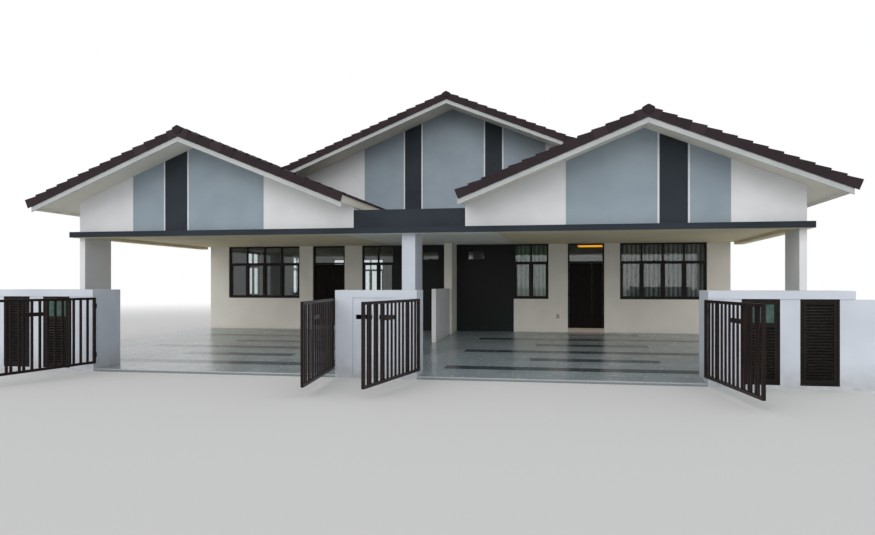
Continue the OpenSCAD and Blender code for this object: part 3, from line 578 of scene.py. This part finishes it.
tile_finish = coat("aubergine_concrete_tile", through_coloured, 0.6, 0.3, (0.004, 3.0, 0.35, 0.0015))
row_tree, row_in = node_group(
    "laid_in_rows", Unit="Object", Columns="Int", ColumnStep="Vector", Rows="Int", RowStep="Vector",
    Start="Vector", Finish="Material", Seed="Int")
row_unit = add(row_tree, "ObjectInfo", {"Object": row_in["Unit"], "As Instance": True})
row_across = add(row_tree, "MeshLine", {
    "Count": row_in["Columns"], "Offset": row_in["ColumnStep"]}, mode="OFFSET")
row_one = add(row_tree, "InstanceOnPoints", {
    "Points": row_across, "Instance": row_unit.outputs["Geometry"]})
row_down = add(row_tree, "MeshLine", {
    "Count": row_in["Rows"], "Start Location": row_in["Start"], "Offset": row_in["RowStep"]},
    mode="OFFSET")
tone_and_end(row_tree, add(row_tree, "InstanceOnPoints", {"Points": row_down, "Instance": row_one}), row_in)


def lay(unit, seed, start, columns=1, rows=1, column_step=across, row_step=down, finish=tile_finish):
    """Rows of one unit, as a plain mesh object"""
    return built("rows", bpy.data.meshes.new("carrier"), row_tree, Unit=unit, Columns=columns, Rows=rows,
                 ColumnStep=column_step, RowStep=row_step, Start=start, Finish=finish, Seed=seed)


def course_start(row, y, off_ridge=0.0):
    x = off_ridge + row * course
    return (x, y, -x * slope)


def moved(piece, x=0.0, y=0.0, z=0.0, flip_x=False, flip_y=False):
    """Mirrors a piece's mesh about the ridge, the middle or both, then shifts it"""
    turn = Matrix.Diagonal((-1 if flip_x else 1, -1 if flip_y else 1, 1, 1))
    piece.data.transform(Matrix.Translation((x, y, z)) @ turn)
    if flip_x != flip_y:
        piece.data.flip_normals()
    return piece


def twin(piece, **move):
    return moved(add_object(piece.name, piece.data.copy()), **move)


def joined(name, pieces):
    """One object from several, with its material and attributes kept"""
    with bpy.context.temp_override(active_object=pieces[0], selected_editable_objects=pieces):
        bpy.ops.object.join()
    pieces[0].name = name
    pieces[0].data.name = name
    return pieces[0]


full_tile, half_tile = roll_tile(2), roll_tile(1)
main_field = joined("roof_field", [
    lay(full_tile, 11, course_start(0, upper_y, lead), field_columns, upper_rows),
    lay(full_tile, 12, course_start(upper_rows, field_start_y, lead), front_columns + field_columns,
        porch_courses),
    lay(half_tile, 13, course_start(0, upper_y + field_columns * tile_w, lead), 1, courses)])
inner_field = joined("inner_field", [
    lay(full_tile, 14, course_start(0, field_start_y), front_columns),
    lay(full_tile, 15, course_start(1, field_start_y), inner_columns, porch_courses - 1)])

# Verge tiles
# Cloaked verge tiles finish every gable edge: a flat top over the last roll and a deep apron
# down the face, each one lapping the next, nailed to the barge board's batten.
verge_top_w = 0.15
verge_lap = 0.03
verge_head, verge_nose = 0.015, 0.051  # heights of the apron's top over the slope
verge_end = tile_end + 0.001
plate_in = 0.001
plate_head_t, plate_nose_t = 0.034, 0.017
apron_t = 0.015
apron_depth = 0.188 * math.cos(pitch)
apron_taper = 0.004
head_behind = 0.004  # the head lies a little behind the nose of the tile above


def loft(near, far, y0, y1):
    """Vertices and faces from an outline in X and Z at one Y to another at a second Y"""
    n = len(near)
    verts = [(x, y0, z) for x, z in near] + [(x, y1, z) for x, z in far]
    faces = [tuple(range(n)), tuple(range(2 * n - 1, n - 1, -1))]
    faces += [(k, (k + 1) % n, n + (k + 1) % n, n + k) for k in range(n)]
    return verts, faces


def prism(outline, y0, y1):
    return loft(outline, outline, y0, y1)


def verge_tile():
    """Apron at Y = 0 and a top plate behind it, from the head down to the nose"""
    head, nose = verge_head - plate_in, verge_nose - plate_in
    apron = [on_slope(-verge_lap, verge_head), on_slope(verge_end, verge_nose),
             on_slope(verge_end, -apron_depth), on_slope(-verge_lap, apron_taper - apron_depth)]
    plate = [on_slope(-verge_lap, head), on_slope(verge_end - plate_in, nose),
             on_slope(verge_end - plate_in, nose - plate_nose_t), on_slope(-verge_lap, head - plate_head_t)]
    verts, faces = prism(apron, 0.0, apron_t)
    verts = [(x, y + (head_behind if x < course / 2 else 0.0), z) for x, y, z in verts]
    return solid("verge_tile_shape", (verts, faces), prism(plate, apron_t * 0.8, verge_top_w),
                 chamfer=0.002)


verge_unit = verge_tile()
front_verge = lay(verge_unit, 21, course_start(0, porch_verge_y), rows=porch_courses)
upper_verge = lay(verge_unit, 22, course_start(0, main_verge_y, lead), rows=upper_rows)
rear_verge = moved(lay(verge_unit, 23, course_start(0, 0.0, lead), rows=courses),
                   y=rear_verge_y, flip_y=True)

# Ridge tiles
# Angular concrete ridge tiles, 400 mm long, bedded on both slopes with each one lapping the next,
# and a six-sided block end over each verge. The porch ridges stand a little higher.
ridge_len = 0.4
ridge_lap = 0.03
main_ridge_h, porch_ridge_h = 0.05, 0.068
ridge_foot = 0.012
crown_half, crown_drop = 0.025, 0.005
ridge_chamfer = 0.003
end_t = 0.015
end_half, end_side_h, end_h = 0.095, 0.155, 0.205


def ridge_outline(height, grow):
    """Angular section over two slopes, a little larger where it laps the next tile"""
    half = ridge_half * (1 - 0.06 * (1 - grow))
    lift = ridge_foot + height * (0.72 + 0.24 * grow)
    foot = ridge_foot - slope * half
    lip = lift - half / 2
    return [(-half, foot), (0.0, ridge_foot), (half, foot), (half, lip), (crown_half, lift - crown_drop),
            (0.0, lift), (-crown_half, lift - crown_drop), (-half, lip)]


def ridge_end(height):
    """Block end: the top of the ridge tile's section, narrowing downwards over the verge tiles"""
    top = ridge_outline(height, 1.0)[3:]
    crown = top[2][1]
    lower = [(-end_half, crown - end_side_h), (0.0, crown - end_h), (end_half, crown - end_side_h)]
    return solid("ridge_end", prism(top + lower, -end_t, 0.0), finish=tile_finish, chamfer=ridge_chamfer)


def ridge(x, z, y0, y1, height, seed, rear_closed=False):
    """Tapered tiles from Y = y0, the wide end of each lapping the one before, and block ends"""
    unit = solid("ridge_tile_shape", loft(ridge_outline(height, 1.0), ridge_outline(height, 0.0),
                                          0.0, ridge_len + ridge_lap), chamfer=ridge_chamfer)
    count = round((y1 - y0) / ridge_len)
    step = (0.0, (y1 - y0 - ridge_lap) / count, 0.0)
    parts = [lay(unit, seed, (x, y0, z), count, column_step=step), moved(ridge_end(height), x, y0, z)]
    bpy.data.objects.remove(unit)
    if rear_closed:
        parts.append(moved(ridge_end(height), x, y1, z, flip_y=True))
    return parts


ridge_parts = ridge(0.0, main_apex, main_verge_y, rear_verge_y, main_ridge_h, 31, True)
for side in (-1, 1):
    ridge_parts += ridge(side * porch_ridge, porch_apex, porch_verge_y, main_verge_y,
                         porch_ridge_h, 32 + side)
belongs(joined("ridge_tiles", ridge_parts), "roof_tile", "ridge_caps")

# Roof decking
# Battens, felt and rafters under the tiles, seen only as the closed edge behind the eaves.
# The tiles of both homes are set on them here, one home the mirror image of the other.
deck_top = 0.058
cover = 0.12  # from the slope to the underside of the rafters
deck_in = 0.19
valley_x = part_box("centre_parapet")[1].x - 0.089


def deck(run, y0, y1):
    end = run - deck_in
    corners = ((ridge_slot, deck_top), (end, deck_top), (end, cover), (ridge_slot, cover))
    outline = [(x, -depth - slope * x) for x, depth in corners]
    return solid("deck", prism(outline, y0, y1), finish=tile_finish)


def slopes(left):
    """Where parts go on one home: on the main slope, the porch's outer one and its inner one"""
    porch = {"x": -porch_ridge if left else porch_ridge, "z": porch_apex}
    return {"z": main_apex, "flip_x": left}, {**porch, "flip_x": left}, {**porch, "flip_x": not left}


for side_name, left in (("right", False), ("left", True)):
    main, outer, inner = slopes(left)
    placed = [twin(part, **main) for part in (main_field, upper_verge, rear_verge)]
    belongs(joined("main_tiles_" + side_name, placed), "roof_tile", "main_roof")
    placed = [twin(inner_field, **inner), twin(front_verge, **outer), twin(front_verge, **inner)]
    belongs(joined("porch_tiles_" + side_name, placed), "roof_tile", "porch_roofs")
    deck_front_y = porch_verge_y + apron_t
    decks = [moved(deck(roof_high.x, main_verge_y + apron_t, rear_verge_y - apron_t), **main),
             moved(deck(porch_ridge - valley_x, deck_front_y, main_verge_y), **inner),
             moved(deck(porch_courses * course, deck_front_y, main_verge_y), **outer)]
    belongs(joined("roof_deck_" + side_name, decks), "roof_tile", "main_roof", "porch_roofs")
for used in (main_field, inner_field, front_verge, upper_verge, rear_verge,
             full_tile, half_tile, verge_unit):
    bpy.data.objects.remove(used)

# Barge and eaves boards
# Planed timber boards under satin paint, nailed to the rafters' ends, deep enough to hide the
# soffit's edge. The paint shows the grain a little, and has yellowed and greyed in patches.
seat = 0.0003
board_top = cover + seat
board_foot, eaves_foot, inner_foot = 0.306, 0.272, 0.195
board_t = 0.03
board_in = 0.03
board_chamfer = 0.003
eaves_gap = 0.012
lap_on_roof = 0.02
ridge_joint = 0.0005
outer_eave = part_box("barge_boards")[1].x
inner_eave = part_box("centre_parapet")[1].x + seat
porch_board_y = porch_verge_y + board_in
house_front_y = main_verge_y + board_in
house_back_y = rear_verge_y - board_in - board_t
eave_line = main_apex - slope * (outer_eave - board_t)
inner_run = porch_ridge - inner_eave + board_t
inner_line = porch_apex - slope * inner_run
roof_on_roof = (board_top + lap_on_roof) / (2 * slope)
roof_on_roof_foot = (board_foot + lap_on_roof) / (2 * slope)


def painted_timber(tree, place):
    stretched = add(tree, "Mapping", {"Vector": place, "Scale": (2.0, 2.0, 160.0)})
    lines = add(tree, "TexNoise", {"Vector": stretched, "Scale": 1.0, "Detail": 3.0})
    relief = add(tree, "Bump", {"Height": lines, "Strength": 0.15, "Distance": 0.001})
    return {"Base Color": clouded(0.7, 5.0, (0.35, "#a9adad"), (0.65, "#b5b8b7"))(tree, place),
            "Normal": relief}


board_finish = coat("satin_painted_timber", painted_timber, 0.45)


def barge_board(run, y, cut=0.0):
    """Half a gable's board, from the ridge down to a plumb end or to one cut to sit on a roof"""
    outline = [(ridge_joint, -board_top), (run, -board_top - slope * run),
               (run - cut, -board_foot - slope * (run - cut)), (ridge_joint, -board_foot)]
    return solid("board", prism(outline, y, y + board_t), finish=board_finish, chamfer=board_chamfer)


def eaves_board(x, foot, top, rise, y1, **look):
    """A right-hand board back from the porch's barge board, its top on a slope that rises with X"""
    outline = [(x, foot), (x + board_t, foot), (x + board_t, top + rise * board_t), (x, top)]
    return solid("board", prism(outline, porch_board_y + board_t, y1), **look)


gables, eaves, inner_eaves = [], [], []
for left in (False, True):
    main, outer, inner = slopes(left)
    gables += [
        moved(barge_board(porch_ridge - roof_on_roof, house_front_y, roof_on_roof_foot - roof_on_roof),
              **main),
        moved(barge_board(outer_eave, house_back_y), **main),
        moved(barge_board(outer_eave - porch_ridge, porch_board_y), **outer),
        moved(barge_board(inner_run, porch_board_y), **inner)]
    board = eaves_board(outer_eave - board_t, eave_line - eaves_foot, eave_line - eaves_gap, -slope,
                        house_back_y, finish=board_finish, chamfer=board_chamfer)
    board.data.materials.append(soffit_finish)  # the inner side is painted with the soffit
    for face in board.data.polygons:
        face.material_index = 1 if face.normal.x < -0.9 else 0
    eaves.append(moved(board, flip_x=left))
    inner_eaves.append(moved(
        eaves_board(inner_eave - board_t, inner_line - inner_foot, inner_line + eaves_gap, slope,
                    wall_front_y, finish=soffit_finish), flip_x=left))
belongs(joined("barge_boards_full", gables), "fascia_paint", "barge_boards")
belongs(joined("eaves_boards_full", eaves), "fascia_paint", "eaves_boards")
belongs(joined("inner_eaves_boards", inner_eaves), "soffit_board")

# Window frames, entrance frames and store frames
# Extruded aluminium, powder-coated near-black brown: satin, with the faint orange-peel of the
# coat, and worn paler in soft patches.


def powder_coat(name, colour, worn, roughness, gloss=0.3):
    orange_peel = (0.003, 1.0, 0.12, 0.0005)
    return coat(name, clouded(0.4, 5.0, (0.35, colour), (0.7, worn)), roughness, gloss, orange_peel)


louvre_finish = powder_coat("dusty_black_powder_coat", "#110e0b", "#1d1814", 0.55, 0.2)
apply_finish(powder_coat("brown_black_powder_coat", "#14100f", "#1b1614", 0.42, 0.25),
             "window_frames", "entrance_frames")
apply_finish(louvre_finish, "store_frames")

# Window glass
# Clear float glass with a faint grey body colour. Light from lamps and sky passes straight
# through it, so that the rooms behind are lit.


def float_glass(tree, place):
    path = add(tree, "LightPath").outputs
    lit = add(tree, "Math", {0: path["Is Shadow Ray"], 1: path["Is Diffuse Ray"]}, operation="MAXIMUM")
    clear = add(tree, "BsdfTransparent", {"Color": "#eef2f2"})
    fill(tree.nodes["Material Output"], {"Surface": add(tree, "MixShader", {
        0: lit, 1: tree.nodes["Principled BSDF"], 2: clear})})
    return {"Base Color": "#e2e9e9", "IOR": 1.5, "Transmission Weight": 1.0}


apply_finish(coat("clear_float_glass", float_glass, 0.02, 0.25), "window_glass")

# Curtains and their rails
# Sheer polyester curtains hang in even folds from aluminium rails behind the front windows of
# the right-hand home. They are cut half as wide again as the rail, and stop above the floor.
rail_y, rail_z = 6.585, 3.085
rail_half = 0.012
curtain_top, curtain_foot = rail_z - rail_half, 0.62
fold_pitch = 0.14
fold_depth = 0.038
fold_steps = 14
curtain_t = 0.0012
thread = 0.004  # the threads are 0.3 mm apart, drawn coarse enough to show


def rectangle(a0, a1, b0, b1):
    return [(a0, b0), (a1, b0), (a1, b1), (a0, b1)]


def box(x0, x1, y0, y1, z0, z1):
    return prism(rectangle(x0, x1, z0, z1), y0, y1)


def sheer(name, shaded_hollow, lit_crest):
    """Sheer cloth, with painted light where a fold comes forward and painted shade in its hollows"""
    def cloth(tree, place):
        # Colour by depth: painted shade at the back of the folds, painted light at the front.
        fold = add(tree, "MapRange", {
            "Value": along(tree, place, "Y"), "From Min": rail_y + fold_depth,
            "From Max": rail_y - fold_depth})
        weave = add(tree, "TexWave", {"Vector": place, "Scale": 1 / (thread * 20)}, bands_direction="Z")
        return {"Base Color": add(tree, "ValToRGB", {"Fac": fold}, ((0.15, shaded_hollow), (0.85, lit_crest))),
                "Normal": add(tree, "Bump", {
                    "Height": weave.outputs["Fac"], "Strength": 0.2, "Distance": 0.0005}),
                "Sheen Weight": 0.3}
    return coat(name + "_sheer_polyester", cloth, 0.85)


def folded_curtain(name, x0, x1, seed, cloth):
    """A curtain in folds between two sides: its object and the width of the flat cloth"""
    rows = 8
    columns = round((x1 - x0) / fold_pitch) * fold_steps

    def depth(k, row):
        turn = k / fold_steps
        wander = 0.35 * math.sin(0.9 * turn + seed) + 0.25 * math.sin(2.3 * turn + 2 * seed)
        full = 0.72 + 0.28 * row / rows
        return fold_depth * full * math.sin(2 * math.pi * turn + wander * row / rows)

    verts = [(x0 + (x1 - x0) * k / columns, rail_y + depth(k, row) + side * curtain_t,
              curtain_top + (curtain_foot - curtain_top) * row / rows)
             for side in (0, 1) for row in range(rows + 1) for k in range(columns + 1)]
    faces = []
    width = columns + 1
    back = width * (rows + 1)
    for row in range(rows):
        for k in range(columns):
            a = row * width + k
            faces += [(a, a + 1, a + width + 1, a + width),
                      (back + a + width, back + a + width + 1, back + a + 1, back + a)]
        a, b = row * width, row * width + columns
        faces += [(a, a + width, back + a + width, back + a), (b + width, b, back + b, back + b + width)]
    for k in range(columns):
        a, b = k, rows * width + k
        faces += [(back + a, back + a + 1, a + 1, a), (b, b + 1, back + b + 1, back + b)]
    flat = sum(math.hypot((x1 - x0) / columns, depth(k + 1, rows) - depth(k, rows))
               for k in range(columns))
    return solid(name, (verts, faces), finish=cloth, smooth=60), flat


rail_finish = powder_coat("anodised_aluminium_rail", "#8c8f92", "#979a9d", 0.4)
belongs(solid("curtain_rails", *[
    box(a, b, rail_y - rail_half, rail_y + rail_half, rail_z - rail_half, rail_z + rail_half)
    for a, b in ((5.14, 7.9), (1.98, 3.15))], finish=rail_finish, chamfer=0.002), "hinge_steel")
# Each curtain's painted shade colour for the fold hollows, then its painted light colour for the crests.
for name, x0, x1, seed, shaded_hollow, lit_crest in (
        ("curtain_wide_left", 5.16, 6.50, 1.0, "#45484b", "#a19f9c"),
        ("curtain_wide_right", 6.54, 7.88, 2.2, "#45484b", "#a19f9c"),
        ("curtain_narrow", 2.0, 3.13, 3.1, "#596f58", "#90aa90")):
    curtain, flat_width = folded_curtain(name, x0, x1, seed, sheer(name, shaded_hollow, lit_crest))
    belongs(curtain, "ceiling_board")

# Entrance doors
# Flush solid-core leaves faced with dark stained timber veneer, the grain upright. The pull
# handles are dark bronze and the hinges zinc-plated, those of the stores painted black-brown.
leaf_mid_y = 6.4775
leaf_half = 0.0228


def veneer(tree, place):
    """Stained veneer, and dark bronze past the leaf's faces, where the handles are"""
    stretched = add(tree, "Mapping", {"Vector": place, "Scale": (45.0, 45.0, 1.6)})
    lines = add(tree, "TexNoise", {
        "Vector": stretched, "Scale": 1.0, "Detail": 6.0, "Roughness": 0.6, "Distortion": 0.6})
    wood = add(tree, "ValToRGB", {"Fac": lines}, ((0.3, "#0c0706"), (0.55, "#120a08"), (0.75, "#190f0c")))
    handle = beyond(tree, place, "Y", leaf_half, leaf_mid_y)
    return {"Base Color": add(tree, "MixRGB", {"Fac": handle, "Color1": wood, "Color2": "#2c2521"}),
            "Metallic": handle,
            "Normal": add(tree, "Bump", {"Height": lines, "Strength": 0.15, "Distance": 0.0008})}


def hinge_steel(tree, place):
    """Bare steel indoors, painted at the stores"""
    bare = clouded(0.01, 4.0, (0.3, "#6f6c68"), (0.7, "#85827d"))(tree, place)
    indoors = beyond(tree, place, "Y", 0.0)
    return {"Base Color": add(tree, "MixRGB", {"Fac": indoors, "Color1": "#17120f", "Color2": bare}),
            "Metallic": indoors}


apply_finish(coat("dark_stained_veneer", veneer, 0.42, 0.1),
             "entrance_door_left", "entrance_door_right", "side_leaf_left", "side_leaf_right")
apply_finish(coat("zinc_plated_steel", hinge_steel, 0.4, 0.25), "door_hinges")

# Louvre doors of the stores
# Aluminium leaves, powder-coated black-brown and dusty, with Z-shaped blades let into the stiles.
# The leaf beside the gate has a glazed panel at the top, to read the meters through.
stile_w = 0.05
louvre_t = 0.035
tenon = 0.001
blade_count = 25
knuckle_r = 0.009
knuckle_sides = 20
knuckle_h = 0.028
knuckle_gap = 0.0003
knuckle_out = 0.01
leaf_off_axis = 0.0025
hinge_in = 0.2
flap_w, flap_t = 0.04, 0.003
pane_foot = 1.162
pane_rail = 0.08
pane_t = 0.005
rebate = 0.004
blade_section = [(-0.0165, -0.0215), (-0.014, -0.0215), (-0.014, -0.0105), (0.0165, 0.01),
                 (0.0165, 0.0215), (0.014, 0.0215), (0.014, 0.0125), (-0.0165, -0.0075)]


def along_x(outline, x0, x1):
    """An outline in Y and Z, stretched from one X to another"""
    verts, faces = prism(outline, x0, x1)
    return [(y, x, z) for x, y, z in verts], faces


def upright(outline, z0, z1):
    """An outline in X and Y, stretched from one Z to another"""
    verts, faces = prism(outline, z0, z1)
    return [(x, z, y) for x, y, z in verts], faces


def leaf_knuckles(axis_x, axis_y, z):
    """The two knuckles of a hinge that turn with the leaf, and their flaps"""
    turns = [2 * math.pi * k / knuckle_sides for k in range(knuckle_sides)]
    ring = [(axis_x + knuckle_r * math.cos(turn), axis_y + knuckle_r * math.sin(turn)) for turn in turns]
    edge_x, back_y = axis_x - leaf_off_axis, axis_y + knuckle_out
    lug = rectangle(axis_x - knuckle_r, edge_x, axis_y, back_y)
    flap = rectangle(axis_x - flap_w, edge_x, back_y - flap_t, back_y)
    return [upright(part, foot, foot + knuckle_h) for part in (ring, lug, flap)
            for foot in (z - knuckle_h - knuckle_gap, z + knuckle_h + knuckle_gap)]


def louvre_leaf(name, place, glazed):
    """A right-hand leaf, and the shell of its pane"""
    low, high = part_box("louvre_door_right_" + place)
    axis_x, axis_y = high.x - knuckle_r, low.y + knuckle_r
    x0, x1 = low.x, axis_x - leaf_off_axis
    y0, y1 = high.y - louvre_t, high.y
    middle = (y0 + y1) / 2
    left, right = x0 + stile_w, x1 - stile_w
    foot, head = low.z + stile_w, high.z - stile_w
    rails = [(low.z, foot), (head, high.z)]
    top = head
    if glazed:
        top = pane_foot - pane_rail
        rails.append((top, pane_foot))
    count = round(blade_count * (top - foot) / (head - foot))
    step = (top - foot) / count
    shells = [box(a, a + stile_w, y0, y1, low.z, high.z) for a in (x0, right)]
    shells += [box(left - tenon, right + tenon, y0, y1, a, b) for a, b in rails]
    section = [(middle + y, z) for y, z in blade_section]
    blade = solid("blade", along_x(section, left - tenon, right + tenon))
    leaf = joined(name, [
        solid("leaf", *shells, finish=louvre_finish, chamfer=0.002),
        solid("knuckles", *leaf_knuckles(axis_x, axis_y, low.z + hinge_in),
              *leaf_knuckles(axis_x, axis_y, high.z - hinge_in), finish=louvre_finish),
        lay(blade, 41, (0.0, 0.0, foot + step / 2), rows=count, row_step=(0.0, 0.0, step),
            finish=louvre_finish)])
    bpy.data.objects.remove(blade)
    return leaf, box(left - rebate, right + rebate, middle - pane_t / 2, middle + pane_t / 2,
                     pane_foot - rebate, head + rebate)


tint = clouded(0.12, 2.0, (0.3, "#2f4a42"), (0.7, "#48605a"))
pane_finish = coat("grey_tinted_acrylic", tint, 0.12, 0.25)
for place, glazed in (("near", True), ("far", False)):
    for side_name, left in (("right", False), ("left", True)):
        body = "louvre_door_%s_%s" % (side_name, place)
        leaf, pane = louvre_leaf("louvre_leaf_%s_%s" % (side_name, place), place, glazed)
        belongs(moved(leaf, flip_x=left), "louvre_aluminium", body, body=body)
        if glazed:
            pane = solid("store_pane_" + side_name, pane, finish=pane_finish)
            belongs(moved(pane, flip_x=left), "window_glass", body=body)

# Gates and their hinges
# Mild steel tube and flat bar, welded and painted with red-brown gloss that the sun has dulled.
apply_finish(powder_coat("red_brown_gate_paint", "#150c0e", "#22130f", 0.4, 0.2),
             "gate_left_inner", "gate_left_outer", "gate_right_inner", "gate_right_outer", "gate_hinges")

# Lamp in the hall of the right-hand home
# A lit tube lamp under the ceiling behind the fanlight: a sheet-steel tray with a warm acrylic cover.
lamp_x, lamp_y = 4.56, 7.4
lamp_len, lamp_w = 1.22, 0.06
cover_len, cover_w, cover_h = 1.2, 0.052, 0.045
lamp_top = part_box("house_ceiling")[0].z - seat
tray_foot = lamp_top - 0.02


def centred(length, width, z0, z1):
    return box(lamp_x - length / 2, lamp_x + length / 2, lamp_y - width / 2, lamp_y + width / 2, z0, z1)


def lit_tube(tree, place):
    """Even light that falls off at the two ends"""
    reach = add(tree, "MapRange", {"Value": along(tree, place, "X", lamp_x), "From Max": lamp_len / 2})
    light = add(tree, "ValToRGB", {"Fac": reach}, ((0.8, "#ffb52a"), (1.0, "#e08a14")))
    return {"Base Color": light, "Emission Color": light, "Emission Strength": 1.0}


belongs(solid("hall_lamp", centred(lamp_len, lamp_w, tray_foot, lamp_top),
              centred(cover_len, cover_w, tray_foot - cover_h, tray_foot + 0.001),
              finish=coat("lit_warm_acrylic", lit_tube, 0.5), chamfer=0.003), "ceiling_board")

# Letter boxes in the pier
# A folded sheet-steel box, painted black, lines each letter slot; its black is also the painted shade
# deep inside the slot.
slot_x0, slot_x1 = 0.07, 0.40
slot_z0, slot_z1 = 1.16, 1.25
slot_front = pier_low.y + 0.021
slot_back = (pier_low.y + pier_high.y) / 2
sheet_t = 0.002


def letter_box(side):
    x0, x1 = sorted((side * slot_x0, side * slot_x1))
    plates = [(x0, x0 + sheet_t, slot_z0, slot_z1), (x1 - sheet_t, x1, slot_z0, slot_z1),
              (x0, x1, slot_z0, slot_z0 + sheet_t), (x0, x1, slot_z1 - sheet_t, slot_z1)]
    back = box(x0, x1, slot_back - sheet_t, slot_back, slot_z0, slot_z1)
    return [box(a, b, slot_front, slot_back, c, d) for a, b, c, d in plates] + [back]


belongs(solid("letter_boxes", *letter_box(-1), *letter_box(1),
              finish=powder_coat("black_stove_enamel", "#0d0d0d", "#151514", 0.5)), "louvre_aluminium")

# Socket plates
# Two moulded pale grey plates, one over the other, screwed to the front wall beside the entrance.
plate_x, plate_z = 3.34, 0.835
plate_w, plate_h, plate_t = 0.095, 0.06, 0.009
belongs(solid("socket_plates", *[
    box(plate_x - plate_w / 2, plate_x + plate_w / 2, wall_front_y - plate_t, wall_front_y - seat,
        z - plate_h / 2, z + plate_h / 2)
    for z in (plate_z - plate_h * 0.55, plate_z + plate_h * 0.55)],
    finish=painted_board("moulded_grey_plastic", "#a9abab", "#a3a5a5"), chamfer=0.003), "ceiling_board")
